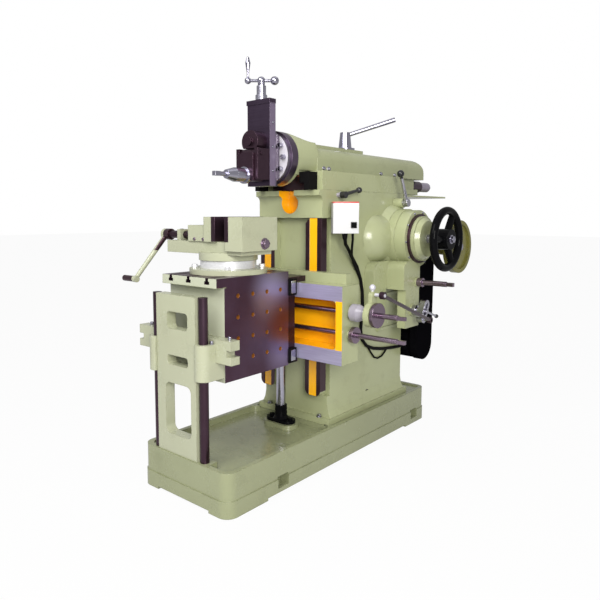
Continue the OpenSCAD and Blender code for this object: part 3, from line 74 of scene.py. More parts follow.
# %% [markdown]
# ## Building materials from nodes
# A material is a small graph. These helpers add a node, set its values and join two sockets, so that
# each finish below reads as a short list of what feeds what.

# %% Node helpers
def add(tree, kind, **values):
    node = tree.nodes.new(kind)
    for key, value in values.items():
        if hasattr(node, key):
            setattr(node, key, value)
        else:
            node.inputs[key.replace("_", " ")].default_value = value
    return node


def join(tree, source, target):
    tree.links.new(source, target)


def maths(tree, operation, a, b=None):
    node = tree.nodes.new("ShaderNodeMath")
    node.operation = operation
    for i, value in enumerate((a, b)):
        if value is None:
            continue
        if isinstance(value, (int, float)):
            node.inputs[i].default_value = value
        else:
            tree.links.new(value, node.inputs[i])
    return node.outputs[0]


def mix_colour(tree, factor, a, b, blend="MIX"):
    node = tree.nodes.new("ShaderNodeMix")
    node.data_type = "RGBA"
    node.blend_type = blend
    for socket, value in ((node.inputs[0], factor), (node.inputs[6], a), (node.inputs[7], b)):
        if isinstance(value, (int, float)):
            socket.default_value = value
        elif isinstance(value, tuple):
            socket.default_value = (*value, 1.0)
        else:
            tree.links.new(value, socket)
    return node.outputs[2]


def new_group(name, inputs, outputs):
    group = bpy.data.node_groups.new(name, "ShaderNodeTree")
    for label, kind, value in inputs:
        socket = group.interface.new_socket(name=label, in_out="INPUT", socket_type=kind)
        socket.default_value = value
    for label, kind in outputs:
        group.interface.new_socket(name=label, in_out="OUTPUT", socket_type=kind)
    return group, group.nodes.new("NodeGroupInput"), group.nodes.new("NodeGroupOutput")


# %% [markdown]
# ## Worn edges
# Paint is thin on a corner and dark iron shows through. The Bevel node gives the direction a softened
# corner would face. Where that differs from the true face, the point is on an edge. A noise breaks the
# mask up, because wear is never an even line. The same softened direction also rounds the highlights.

# %% Edge wear group
def make_edge_wear():
    group, given, made = new_group(
        "Worn Edge",
        [("Radius", "NodeSocketFloat", 0.003), ("Breakup", "NodeSocketFloat", 22.0)],
        [("Mask", "NodeSocketFloat"), ("Normal", "NodeSocketVector")],
    )
    bevel = add(group, "ShaderNodeBevel", samples=4)
    true_face = add(group, "ShaderNodeNewGeometry")
    place = add(group, "ShaderNodeTexCoord")
    noise = add(group, "ShaderNodeTexNoise", Detail=5.0, Roughness=0.65)
    dot = add(group, "ShaderNodeVectorMath", operation="DOT_PRODUCT")
    join(group, given.outputs["Radius"], bevel.inputs["Radius"])
    join(group, given.outputs["Breakup"], noise.inputs["Scale"])
    join(group, place.outputs["Object"], noise.inputs["Vector"])
    join(group, bevel.outputs[0], dot.inputs[0])
    join(group, true_face.outputs["Normal"], dot.inputs[1])
    edge = maths(group, "SUBTRACT", 1.0, dot.outputs["Value"])
    edge = maths(group, "MULTIPLY", edge, 9.0)
    patch = maths(group, "SUBTRACT", noise.outputs["Fac"], 0.47)
    patch = maths(group, "MULTIPLY", patch, 7.0)
    group.nodes[-1].use_clamp = True
    mask = maths(group, "MULTIPLY", edge, patch)
    group.nodes[-1].use_clamp = True
    join(group, mask, made.inputs["Mask"])
    join(group, bevel.outputs[0], made.inputs["Normal"])
    return group


WORN_EDGE = make_edge_wear()
print("group:", WORN_EDGE.name)

# %% [markdown]
# ## Castings are never quite flat
# Enamel over a sand casting has broad, soft swells and fine orange peel, and grime gathers in patches. One
# group makes both: a Tone that drifts over the part and a Height for the bump.

# %% Cast surface group
def make_cast_surface():
    group, given, made = new_group(
        "Cast Surface",
        [
            ("Broad", "NodeSocketFloat", 4.0),
            ("Fine", "NodeSocketFloat", 160.0),
            ("Peel", "NodeSocketFloat", 0.25),
        ],
        [("Tone", "NodeSocketFloat"), ("Height", "NodeSocketFloat"), ("Grime", "NodeSocketFloat")],
    )
    place = add(group, "ShaderNodeTexCoord")
    broad = add(group, "ShaderNodeTexNoise", Detail=3.0, Roughness=0.5)
    fine = add(group, "ShaderNodeTexNoise", Detail=2.0, Roughness=0.5)
    spots = add(group, "ShaderNodeTexNoise", Scale=11.0, Detail=6.0, Roughness=0.7)
    for noise in (broad, fine, spots):
        join(group, place.outputs["Object"], noise.inputs["Vector"])
    join(group, given.outputs["Broad"], broad.inputs["Scale"])
    join(group, given.outputs["Fine"], fine.inputs["Scale"])
    peel = maths(group, "MULTIPLY", fine.outputs["Fac"], given.outputs["Peel"])
    height = maths(group, "ADD", peel, broad.outputs["Fac"])
    grime = maths(group, "SUBTRACT", spots.outputs["Fac"], 0.52)
    grime = maths(group, "MULTIPLY", grime, 4.0)
    group.nodes[-1].use_clamp = True
    join(group, broad.outputs["Fac"], made.inputs["Tone"])
    join(group, height, made.inputs["Height"])
    join(group, grime, made.inputs["Grime"])
    return group


CAST_SURFACE = make_cast_surface()
print("group:", CAST_SURFACE.name)

# %% [markdown]
# ## Machined metal
# A planer or lathe leaves fine parallel marks. Stretching a noise along one axis draws them. Oil and
# handling darken some patches and polish others, which changes how rough the metal looks.

# %% Machined metal group
def make_machining():
    group, given, made = new_group(
        "Machining Marks",
        [("Along", "NodeSocketVector", (8.0, 260.0, 260.0)), ("Blotch", "NodeSocketFloat", 6.0)],
        [("Line", "NodeSocketFloat"), ("Patch", "NodeSocketFloat")],
    )
    place = add(group, "ShaderNodeTexCoord")
    scale = add(group, "ShaderNodeVectorMath", operation="MULTIPLY")
    lines = add(group, "ShaderNodeTexNoise", Scale=1.0, Detail=3.0, Roughness=0.6)
    patch = add(group, "ShaderNodeTexNoise", Detail=4.0, Roughness=0.55)
    join(group, place.outputs["Object"], scale.inputs[0])
    join(group, given.outputs["Along"], scale.inputs[1])
    join(group, scale.outputs[0], lines.inputs["Vector"])
    join(group, place.outputs["Object"], patch.inputs["Vector"])
    join(group, given.outputs["Blotch"], patch.inputs["Scale"])
    join(group, lines.outputs["Fac"], made.inputs["Line"])
    join(group, patch.outputs["Fac"], made.inputs["Patch"])
    return group


MACHINING = make_machining()
print("group:", MACHINING.name)

# %% [markdown]
# ## Where the colour changes on one casting
# The ways are machined bare on a painted column, and a warm yellow primer is left in the hollows. A mask
# that is 1 inside a box lets one material carry both. The box is measured in the part's own space, so
# the colour travels with the part when it moves.

# %% Box mask group
def make_box_mask():
    group, given, made = new_group(
        "Inside Box",
        [("Low", "NodeSocketVector", (0, 0, 0)), ("High", "NodeSocketVector", (0, 0, 0))],
        [("Mask", "NodeSocketFloat")],
    )
    place = add(group, "ShaderNodeTexCoord")
    spot = add(group, "ShaderNodeSeparateXYZ")
    low = add(group, "ShaderNodeSeparateXYZ")
    high = add(group, "ShaderNodeSeparateXYZ")
    join(group, place.outputs["Object"], spot.inputs[0])
    join(group, given.outputs["Low"], low.inputs[0])
    join(group, given.outputs["High"], high.inputs[0])
    mask = None
    for i in range(3):
        value = maths(group, "ABSOLUTE", spot.outputs[i]) if i == 0 else spot.outputs[i]
        above = maths(group, "GREATER_THAN", value, low.outputs[i])
        below = maths(group, "LESS_THAN", value, high.outputs[i])
        both = maths(group, "MULTIPLY", above, below)
        mask = both if mask is None else maths(group, "MULTIPLY", mask, both)
    join(group, mask, made.inputs["Mask"])
    return group


BOX_MASK = make_box_mask()
print("group:", BOX_MASK.name)

# %% [markdown]
# ## Painted sheen on oiled iron
# Light shines off oiled iron in soft patches, with no edge between them. A mask that fades out with the
# distance from a point gives such a soft patch of painted sheen.

# %% Soft patch group
def make_soft_patch():
    group, given, made = new_group(
        "Soft Patch",
        [("Centre", "NodeSocketVector", (0, 0, 0)), ("Reach", "NodeSocketFloat", 0.2)],
        [("Mask", "NodeSocketFloat")],
    )
    place = add(group, "ShaderNodeTexCoord")
    gap = add(group, "ShaderNodeVectorMath", operation="DISTANCE")
    fade = add(group, "ShaderNodeMapRange", interpolation_type="SMOOTHSTEP")
    fade.inputs["To Min"].default_value = 1.0
    fade.inputs["To Max"].default_value = 0.0
    join(group, place.outputs["Object"], gap.inputs[0])
    join(group, given.outputs["Centre"], gap.inputs[1])
    join(group, gap.outputs["Value"], fade.inputs["Value"])
    join(group, given.outputs["Reach"], fade.inputs["From Max"])
    join(group, fade.outputs[0], made.inputs["Mask"])
    return group


SOFT_PATCH = make_soft_patch()
print("group:", SOFT_PATCH.name)

# %% [markdown]
# ## Placing a group in a material
# A group is built once and then placed in each material with its own values. A box mask is asked for by
# its two corners. Its X counts from the middle of the machine outwards, so that one box covers both sides.

# %% Use a group
def use_group(tree, group, **values):
    node = tree.nodes.new("ShaderNodeGroup")
    node.node_tree = group
    for key, value in values.items():
        node.inputs[key].default_value = value
    return node


def inside(tree, low, high):
    """Mask for the points of a part between two corners, in millimetres."""
    node = use_group(tree, BOX_MASK)
    node.inputs["Low"].default_value = at(*low)
    node.inputs["High"].default_value = at(*high)
    return node.outputs["Mask"]


# %% [markdown]
# ## Sage green enamel
# The castings wear a thick, glossy sage paint. The base colour drifts a little, dirt dulls the low
# patches, and iron shows on rubbed corners. Optional boxes turn areas into yellow primer or bare iron.

# %% Green enamel
SAGE = (0.375, 0.402, 0.228)
SAGE_PALE = (0.43, 0.462, 0.295)
SAGE_DEEP = (0.27, 0.282, 0.132)
PRIMER = (0.98, 0.46, 0.006)
IRON = (0.050, 0.022, 0.032)
IRON_PALE = (0.37, 0.345, 0.50)
SILVER = (0.62, 0.61, 0.68)


def dimmed(colour, amount):
    return tuple(c * amount for c in colour)


def enamel(
    name,
    paint=SAGE,
    pale=SAGE_PALE,
    deep=SAGE_DEEP,
    primer=(),
    iron=(),
    grey=(),
    bare=IRON_PALE,
    gloss=0.24,
    wear=0.75,
    coat=0.25,
    shine=0.5,
):
    material = bpy.data.materials.new(name)
    material.use_nodes = True
    tree = material.node_tree
    shader = tree.nodes["Principled BSDF"]
    cast = use_group(tree, CAST_SURFACE, Broad=3.5, Fine=140.0, Peel=0.12)
    edge = use_group(tree, WORN_EDGE, Radius=0.0035)
    tone = mix_colour(tree, cast.outputs["Tone"], deep, pale)
    tone = mix_colour(tree, 0.62, tone, paint)
    dirt = maths(tree, "MULTIPLY", cast.outputs["Grime"], 0.20)
    tone = mix_colour(tree, dirt, tone, dimmed(deep, 0.45))
    worn = maths(tree, "MULTIPLY", edge.outputs["Mask"], wear)
    tone = mix_colour(tree, worn, tone, dimmed(deep, 0.5))
    rough = maths(tree, "MULTIPLY_ADD", cast.outputs["Grime"], 0.22)
    tree.nodes[-1].inputs[2].default_value = gloss
    metal = None
    for low, high in primer:
        tone = mix_colour(tree, inside(tree, low, high), tone, PRIMER)
    for boxes, colour, amount in ((iron, IRON, 0.75), (grey, bare, 0.45)):
        for low, high in boxes:
            mask = inside(tree, low, high)
            marks = use_group(tree, MACHINING)
            shade = mix_colour(tree, marks.outputs["Line"], dimmed(colour, 0.75), dimmed(colour, 1.25))
            tone = mix_colour(tree, mask, tone, shade)
            mask = maths(tree, "MULTIPLY", mask, amount)
            metal = mask if metal is None else maths(tree, "MAXIMUM", metal, mask)
    join(tree, tone, shader.inputs["Base Color"])
    if metal is not None:
        join(tree, metal, shader.inputs["Metallic"])
        rough = maths(tree, "MULTIPLY_ADD", metal, 0.16)
        tree.nodes[-1].inputs[2].default_value = gloss + 0.03
    join(tree, rough, shader.inputs["Roughness"])
    bump = add(tree, "ShaderNodeBump", Strength=0.10, Distance=0.006)
    join(tree, cast.outputs["Height"], bump.inputs["Height"])
    join(tree, edge.outputs["Normal"], bump.inputs["Normal"])
    join(tree, bump.outputs[0], shader.inputs["Normal"])
    shader.inputs["Coat Weight"].default_value = coat
    shader.inputs["Coat Roughness"].default_value = 0.12
    shader.inputs["Specular IOR Level"].default_value = shine
    return material


green_enamel = enamel("Sage Enamel")
column_enamel = enamel(
    "Column Enamel",
    primer=[((113.5, -106.5, 290), (156.5, -103, 1094)), ((-1, -107.2, 1110), (48.6, -58, 1216)),
            ((-1, -131.4, 1160.4), (43.8, -107, 1216))],
    iron=[((91, -108.2, 290), (178.6, -106.4, 1094)), ((177.2, -108, 290), (179, -66, 1094)),
          ((155.5, -107, 290), (157, -104, 1094))],
)
rail_enamel = enamel(
    "Rail Enamel",
    primer=[((-1, -226.8, 555), (345.6, -128, 759)), ((344, -228.2, 556), (376.8, -227, 758))],
    grey=[((-1, -228.2, 493), (376.8, -227.2, 556)), ((-1, -228.2, 758), (376.8, -227.2, 821))],
)
GREENS = (SAGE, SAGE_PALE, SAGE_DEEP)
RAM_SHADE, BASE_SHADE = 0.86, 0.72
# The ram takes the same sage paint, dimmed: painted shade on the ram's casting.
ram_shaded_enamel = enamel(
    "Ram Enamel Painted Shade",
    *[dimmed(shade, RAM_SHADE) for shade in GREENS],
    # This iron box is painted shade: the ram's front face under the collar is made dark so it reads as the
    # shadow there.
    iron=[((-1, -75, 1214), (131, -72.6, 1301))],
)
# The base takes a darker copy of the sage: painted shade for the low light at the foot of the machine.
base_shaded_enamel = enamel("Base Enamel", *[dimmed(shade, BASE_SHADE) for shade in GREENS])
# A paler, greyer copy of the sage for the vise, its crank, the support frame and the table front, whose
# fronts catch the most light: painted light.
FRONT_LIT_GREENS = ((0.400, 0.415, 0.290), (0.45, 0.47, 0.36), (0.30, 0.305, 0.19))
front_lit_enamel = enamel("Front Lit Enamel", *FRONT_LIT_GREENS)
print("enamels:", green_enamel.name, column_enamel.name, rail_enamel.name, ram_shaded_enamel.name)

# %% [markdown]
# ## Dark machined iron
# Planed iron left under a film of oil goes a deep brown violet and picks up pale reflections. It is a
# metal with a broad, soft gloss, fine planing lines and darker blotches.

# %% Dark iron
PLANED = (8.0, 260.0, 260.0)
TURNED = (300.0, 9.0, 9.0)
POLISHED = (40.0, 40.0, 40.0)


def machined(
    name,
    colour,
    pale,
    along=PLANED,
    rough=0.30,
    spread=0.16,
    metal=0.85,
    lines=0.55,
    paint=(),
    patches=(),
):
    material = bpy.data.materials.new(name)
    material.use_nodes = True
    tree = material.node_tree
    shader = tree.nodes["Principled BSDF"]
    marks = use_group(tree, MACHINING, Along=along)
    edge = use_group(tree, WORN_EDGE, Radius=0.0025)
    tone = mix_colour(tree, marks.outputs["Patch"], colour, pale)
    line = maths(tree, "MULTIPLY", marks.outputs["Line"], lines)
    tone = mix_colour(tree, line, tone, dimmed(colour, 0.55))
    rubbed = maths(tree, "MULTIPLY", edge.outputs["Mask"], 0.6)
    tone = mix_colour(tree, rubbed, tone, pale)
    # Each patch paints a soft spot of sheen into the colour.
    for centre, reach, shade, amount in patches:
        soft = use_group(tree, SOFT_PATCH, Centre=at(*centre), Reach=reach * MM)
        tone = mix_colour(tree, maths(tree, "MULTIPLY", soft.outputs["Mask"], amount), tone, shade)
    rub = maths(tree, "MULTIPLY_ADD", marks.outputs["Patch"], spread)
    tree.nodes[-1].inputs[2].default_value = rough - spread / 2
    shine = None
    for low, high, shade in paint:
        mask = inside(tree, low, high)
        tone = mix_colour(tree, mask, tone, shade)
        shine = mask if shine is None else maths(tree, "MAXIMUM", shine, mask)
    join(tree, tone, shader.inputs["Base Color"])
    join(tree, rub, shader.inputs["Roughness"])
    if shine is None:
        shader.inputs["Metallic"].default_value = metal
    else:
        bare = maths(tree, "SUBTRACT", 1.0, shine)
        join(tree, maths(tree, "MULTIPLY", bare, metal), shader.inputs["Metallic"])
    bump = add(tree, "ShaderNodeBump", Strength=0.08, Distance=0.0006)
    join(tree, marks.outputs["Line"], bump.inputs["Height"])
    join(tree, edge.outputs["Normal"], bump.inputs["Normal"])
    join(tree, bump.outputs[0], shader.inputs["Normal"])
    return material


dark_iron = machined("Dark Iron", (0.040, 0.017, 0.026), (0.095, 0.058, 0.085))
# The head collar takes a lighter copy of the dark iron: painted sheen.
collar_sheen_iron = machined("Collar Iron Painted Sheen", (0.085, 0.058, 0.092), (0.19, 0.148, 0.215))
slide_iron = machined(
    "Slide Iron",
    (0.044, 0.026, 0.046),
    (0.105, 0.076, 0.125),
    paint=[((63.4, -314, 1228), (67, -276, 1570), (0.13, 0.10, 0.16))],
)
# Light machined steel for the swivel face. The paint box puts a painted highlight on the crescent that
# shows between the slide and the collar.
swivel_highlight_iron = machined(
    "Swivel Face Painted Highlight",
    (0.16, 0.14, 0.18),
    (0.34, 0.31, 0.37),
    paint=[((62, -251, 1240), (110, -249, 1460), (0.52, 0.50, 0.55))],
)
bright_steel = machined(
    "Turned Steel",
    (0.34, 0.33, 0.41),
    (0.48, 0.47, 0.55),
    along=TURNED,
    rough=0.22,
    metal=1.0,
    lines=0.25,
)
chrome = machined(
    "Polished Steel",
    (0.30, 0.29, 0.37),
    (0.42, 0.41, 0.49),
    along=POLISHED,
    rough=0.13,
    spread=0.06,
    metal=1.0,
    lines=0.08,
)
VIOLET, VIOLET_PALE = (0.20, 0.13, 0.18), (0.36, 0.29, 0.37)
OILED_SHAFT = {"along": TURNED, "rough": 0.24, "metal": 0.95}
violet_steel = machined("Oiled Shaft Steel", VIOLET, VIOLET_PALE, lines=0.3, **OILED_SHAFT)
print("metals:", dark_iron.name, bright_steel.name, chrome.name)

# %% [markdown]
# ## Black enamel, rubber and plastic
# The handwheel and knobs are dipped in glossy black. Wipers, belts and the cable are dull rubber. The
# switch box is white moulded plastic with a red band along its top edge.

# %% Black and white finishes
black_enamel = enamel(
    "Black Enamel",
    (0.004, 0.004, 0.005),
    (0.007, 0.007, 0.008),
    (0.002, 0.002, 0.002),
    gloss=0.10,
    wear=0.25,
    coat=0.0,
    shine=0.04,
)
guard_black = enamel(
    "Guard Black",
    (0.003, 0.003, 0.004),
    (0.006, 0.005, 0.007),
    (0.002, 0.002, 0.002),
    gloss=0.2,
    wear=0.25,
    coat=0.0,
    shine=0.0,
)
rubber = enamel(
    "Black Rubber",
    (0.006, 0.006, 0.006),
    (0.010, 0.009, 0.010),
    (0.003, 0.003, 0.003),
    gloss=0.42,
    wear=0.2,
    coat=0.0,
    shine=0.03,
)
MOULDED = {"gloss": 0.35, "wear": 0.1}
white_plastic = enamel(
    "White Switch Plastic",
    (0.52, 0.52, 0.54),
    (0.56, 0.56, 0.58),
    (0.45, 0.45, 0.46),
    **MOULDED,
)
switch_red = enamel("Red Band", (0.55, 0.06, 0.05), (0.6, 0.08, 0.06), (0.45, 0.04, 0.04), **MOULDED)
# The flywheel's olive is darkened for the shade the handwheel throws on it: painted shade.
flywheel_shaded_enamel = enamel(
    "Flywheel Painted Shade Enamel",
    (0.160, 0.150, 0.032),
    (0.19, 0.18, 0.05),
    (0.11, 0.105, 0.02),
    coat=0.05,
    shine=0.25,
)
print("blacks:", black_enamel.name, rubber.name)

# %% [markdown]
# ## Two finishes on one part
# A crank has a black grip, a lever a black ball and a gear cover a bare machined ring. The same box masks
# as before give each of these its second finish.

# %% Mixed finishes
BLACK = (0.010, 0.010, 0.012)
crank_enamel = enamel(
    "Vise Crank Enamel",
    *FRONT_LIT_GREENS,
    iron=[((300, -800, 950), (418, -300, 1060)), ((436, -800, 600), (560, -300, 1200))],
)
cover_enamel = enamel("Gear Cover Enamel", iron=[((325.3, 300, 800), (337.4, 700, 1200))])
vise_enamel = enamel(
    "Vise Base Enamel",
    *FRONT_LIT_GREENS,
    grey=[((-1, -700, 893), (200, -300, 926))],
    bare=(0.72, 0.72, 0.76),
)
ratchet_enamel = enamel(
    "Ratchet Enamel",
    grey=[((455, -200, 805), (505, -130, 840)), ((493.5, -190, 770), (545, -140, 805))],
    bare=SILVER,
)
clutch_finish = machined(
    "Clutch Lever Finish",
    (0.42, 0.41, 0.47),
    (0.56, 0.55, 0.61),
    rough=0.2,
    metal=1.0,
    lines=0.2,
    paint=[((200, 380, 1283), (300, 480, 1360), BLACK)],
)
feed_crank_finish = machined(
    "Feed Crank Finish",
    (0.38, 0.37, 0.44),
    (0.50, 0.49, 0.56),
    rough=0.14,
    metal=1.0,
    lines=0.1,
    paint=[((395, 532, 580), (430, 560, 640), BLACK)],
)
cross_finish = machined(
    "Cross Screw Finish",
    VIOLET,
    VIOLET_PALE,
    paint=[((388, -210, 670), (456, -120, 750), (0.30, 0.28, 0.33))],
    **OILED_SHAFT,
)
gib_finish = machined(
    "Gib Lever Finish",
    (0.012, 0.012, 0.014),
    (0.02, 0.02, 0.022),
    rough=0.3,
    metal=0.0,
    lines=0.2,
    paint=[((184, -20, 1170), (206, 20, 1220), (0.36, 0.34, 0.40))],
)
screw_finish = machined(
    "Position Screw Finish",
    IRON,
    (0.13, 0.098, 0.14),
    paint=[((0, 953.6, 1200), (200, 1100, 1300), (0.26, 0.23, 0.30))],
)
print("mixed finishes:", crank_enamel.name, clutch_finish.name, screw_finish.name)

# %% [markdown]
# ## The box table
# The table is dark planed iron with a painted front and rust brown in its tapped holes. On its long side,
# pale and brown patches of painted reflection fade into one another.

# %% Table iron
RUST = (0.30, 0.11, 0.02)
TABLE_PAINT = [
    # The table's front bands take the pale front-lit green: painted light.
    ((-1, -691, 830), (200, -689.4, 880), FRONT_LIT_GREENS[1]),
    ((-1, -651, 460), (200, -649.4, 836), FRONT_LIT_GREENS[1]),
    ((-1, -691, 834), (200, -640, 836), SAGE),
    ((107, -640, 480), (135.6, -285, 815), RUST),
]
# Soft patches of painted reflection on the table's long side.
PAINTED_SHEEN = [
    ((136, -350, 690), 260, (0.15, 0.115, 0.19), 0.8),
    ((136, -385, 800), 150, (0.50, 0.46, 0.66), 0.7),
    ((136, -310, 535), 140, (0.34, 0.28, 0.46), 0.6),
    ((136, -320, 665), 120, (0.20, 0.07, 0.035), 0.8),
]
table_iron = machined(
    "Table Iron",
    (0.060, 0.020, 0.030),
    (0.125, 0.078, 0.130),
    rough=0.34,
    paint=TABLE_PAINT,
    patches=PAINTED_SHEEN,
)
print("table finish:", table_iron.name)

# %% [markdown]
# ## Which finish goes on which casting
# Each CAD node gets one finish. Anything not named here is green, because most of the machine is.

# %% Paint the nodes
FINISH = {
    "column_casting": column_enamel,
    "ram_casting": ram_shaded_enamel,
    "base_casting": base_shaded_enamel,
    "vise_body": front_lit_enamel,
    "moving_jaw": front_lit_enamel,
    "support_frame": front_lit_enamel,
    "support_beam": front_lit_enamel,
    "flywheel": flywheel_shaded_enamel,
    "cross_rail": rail_enamel,
    "table": table_iron,
    "saddle": dark_iron,
    "guide_bars": dark_iron,
    "head_collar": collar_sheen_iron,
    "head_guide": swivel_highlight_iron,
    "tool_slide": slide_iron,
    "clapper_box": dark_iron,
    "clapper_block": dark_iron,
    "bull_gear": dark_iron,
    "vise_screw": dark_iron,
    "position_screw": screw_finish,
    "vise_crank": crank_enamel,
    "gearbox_cover": cover_enamel,
    "vise_base": vise_enamel,
    "ratchet_lever": ratchet_enamel,
    "tool_post": bright_steel,
    "feed_screw": bright_steel,
    "swivel_nuts": bright_steel,
    "inner_axles": bright_steel,
    "crank_block": bright_steel,
    "drive_shaft": bright_steel,
    "input_shaft": bright_steel,
    "motor_pulley": bright_steel,
    "elevating_screw": bright_steel,
    "ball_crank": chrome,
    "feed_crank": feed_crank_finish,
    "lock_lever": chrome,
    "elevating_shaft": violet_steel,
    "cross_feed_screw": cross_finish,
    "stroke_shaft": violet_steel,
    "feed_rod": dark_iron,
    "handwheel": black_enamel,
    "motor": guard_black,
    "belt_guard": guard_black,
    "elevating_pedestal": black_enamel,
    "clutch_lever": clutch_finish,
    "gib_lever": gib_finish,
    "stop_button": black_enamel,
    "ram_wipers": rubber,
    "v_belts": rubber,
    "switch_cable": rubber,
    "switch_box": white_plastic,
}
for name, obj in NODES.items():
    obj.data.materials.clear()
    obj.data.materials.append(FINISH.get(name, green_enamel))
print("painted", len(NODES), "nodes,", len(NODES) - len(FINISH), "of them green")

# %% [markdown]
# ## Small fittings that are only looked at
# Bolt heads, screws, jaw plates and end wipers are too small to matter to the machine's motion, so they are
# made here. Each is a short mesh with a softened edge. It then rides on the casting that carries it.

# %% Fitting helpers
def piece(title, mesh_maker, material, body, bevel=0.0):
    name = title.lower().replace(" ", "_")
    mesh = bpy.data.meshes.new(name)
    form = bmesh.new()
    mesh_maker(form)
    if bevel:
        sharp = [e for e in form.edges if len(e.link_faces) == 2 and e.calc_face_angle(0) > 0.6]
        bmesh.ops.bevel(form, geom=sharp, offset=bevel * MM, segments=2, affect="EDGES", profile=0.6)
    form.to_mesh(mesh)
    form.free()
    obj = bpy.data.objects.new(name, mesh)
    bpy.context.scene.collection.objects.link(obj)
    mesh.materials.append(material)
    shade_by_angle(obj)
    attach(obj, body)
    return obj


def facing(axis):
    """Turns a form made along Z so that it points along another direction."""
    return Vector((0, 0, 1)).rotation_difference(Vector(axis)).to_matrix().to_4x4()


def prism(form, centre, axis, radius, height, sides=6, top=None, turn=0.0):
    place = Matrix.Translation(at(*centre)) @ facing(axis) @ Matrix.Rotation(turn, 4, "Z")
    place = place @ Matrix.Translation((0, 0, height * MM / 2))
    bmesh.ops.create_cone(form, cap_ends=True, segments=sides, radius1=radius * MM,
        radius2=(radius if top is None else top) * MM, depth=height * MM, matrix=place)


def slab(form, low, high, place=None):
    size = [(b - a) * MM for a, b in zip(low, high)]
    middle = [(a + b) * MM / 2 for a, b in zip(low, high)]
    shape = Matrix.Translation(middle) @ Matrix.Diagonal((*size, 1))
    bmesh.ops.create_cube(form, size=1.0, matrix=(place @ shape) if place else shape)


def bolts(name, places, axis, radius, height, material, body, washer=True):
    def build(form):
        for i, centre in enumerate(places):
            lift = Vector(axis) * (radius * 0.16 if washer else 0)
            if washer:
                prism(form, centre, axis, radius * 1.28, radius * 0.16, 28)
            prism(form, Vector(centre) + lift, axis, radius, height, 6, turn=0.4 * i)
    return piece(name, build, material, body, bevel=radius * 0.07)


def screws(name, places, axis, radius, height, material, body):
    def build(form):
        for centre in places:
            prism(form, centre, axis, radius, height, 24, top=radius * 0.9)
    return piece(name, build, material, body, bevel=radius * 0.09)


# %% [markdown]
# ## Bolts on the column, gearbox and ram
# Castings are held by hexagon bolts. They stand on flanges where a spanner can reach them.

# %% Bolts
UP, RIGHT, FORWARD = (0, 0, 1), (1, 0, 0), (0, -1, 0)
DRIVE_Y, DRIVE_Z = 500.4, 990
COVER_FACE, COVER_SCREW_R = 325, 130.5
FLANGE_RISE = 21
flange_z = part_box("base_casting")[1].z / MM + FLANGE_RISE
foot_places = [(x, y, flange_z) for x in (-150, 150) for y in (-76, 603)] + [(0, 603, flange_z)]
bolts("Column Foot Bolts", foot_places, UP, 11, 10, bright_steel, "frame")
cover_angles = [math.radians(d) for d in range(75, 300, 37)]
cover_ring = [
    (COVER_FACE, DRIVE_Y + COVER_SCREW_R * math.cos(a), DRIVE_Z + COVER_SCREW_R * math.sin(a))
    for a in cover_angles
]
screws("Gearbox Screws", cover_ring, RIGHT, 5.5, 5, bright_steel, "frame")
ram_places = [(130, y, 1312) for y in (-28, 9, 452, 588)]
bolts("Ram Side Bolts", ram_places, RIGHT, 8, 6, bright_steel, "ram")
wheel_nut = [(496, DRIVE_Y, DRIVE_Z)]
bolts("Handwheel Nut", wheel_nut, RIGHT, 17, 12, chrome, "drive_shaft")
gib_places = [(64, -294.8, z) for z in (1290, 1390, 1490)]
screws("Tool Slide Gib Screws", gib_places, RIGHT, 5, 4, bright_steel, "tool_slide")
clamp_places = [(123, -704, 628), (186, -672, 648), (-280, -672, 648)]
screws("Support Beam Clamps", clamp_places, UP, 8, 13, bright_steel, "support_beam")
print("bolts made")

# %% [markdown]
# ## Vise jaw plates and the screw nut
# Hardened plates face both jaws. They are a hair larger than the solid behind them, so they show as
# separate dark pieces. A large nut closes the far end of the vise screw.

# %% Vise fittings
VISE_Y = -473.5
PLATE_HALF, PLATE_LOW, PLATE_TOP = 100.8, 1001, 1100.2


def jaw_plate(name, x0, x1, body):
    low = (x0, VISE_Y - PLATE_HALF, PLATE_LOW)
    high = (x1, VISE_Y + PLATE_HALF, PLATE_TOP)
    piece(name, lambda form: slab(form, low, high), dark_iron, body, 1.2)


jaw_plate("Fixed Jaw Plate", 59.2, 81, "vise")
jaw_plate("Moving Jaw Plate", -17, 4.8, "vise_jaw")
jaw_nut = [(158, VISE_Y + 24, 994)]
bolts("Jaw Clamp Nut", jaw_nut, RIGHT, 18, 12, violet_steel, "vise")
jaw_screws = [(x, VISE_Y - 92, 1009) for x in (-125, -72)]
screws("Moving Jaw Screws", jaw_screws, FORWARD, 7, 4, violet_steel, "vise_jaw")
print("vise plates made")

# %% [markdown]
# ## Saddle end wipers
# Black blocks scrape chips off the rail bands at the end of the saddle. A bright strip holds each one.

# %% Saddle wipers
def wiper(name, z0, z1):
    block = ((130, -277, z0), (143, -229.5, z1))
    strip = ((143, -268, z0 + 8), (145, -239, z1 - 8))
    piece(name, lambda form: slab(form, *block), rubber, "table", 2)
    piece(name + " Strip", lambda form: slab(form, *strip), bright_steel, "table", 0.5)


wiper("Upper Wiper", 768, 838)
wiper("Lower Wiper", 478, 540)
print("wipers made")

# %% [markdown]
# ## The switch box
# The white box has a red band along its top and a black gland where the cable leaves it.

# %% Switch trim
SWITCH_X, SWITCH_Y, SWITCH_Z = 258, -42.6, 1095
GLAND_Z = 1001
SWITCH = Matrix.Translation(at(SWITCH_X, SWITCH_Y, SWITCH_Z)) @ Matrix.Rotation(math.radians(45), 4, "Z")


def red_band(form):
    slab(form, (-56.4, -25.4, 62), (56.4, 25.4, 68.3), SWITCH)


def cable_gland(form):
    prism(form, (SWITCH_X, SWITCH_Y, GLAND_Z), UP, 9.5, 26, 24, top=13)


piece("Switch Red Band", red_band, switch_red, "frame", 0.8)
piece("Cable Gland", cable_gland, rubber, "frame", 0.8)
print("switch trim made")

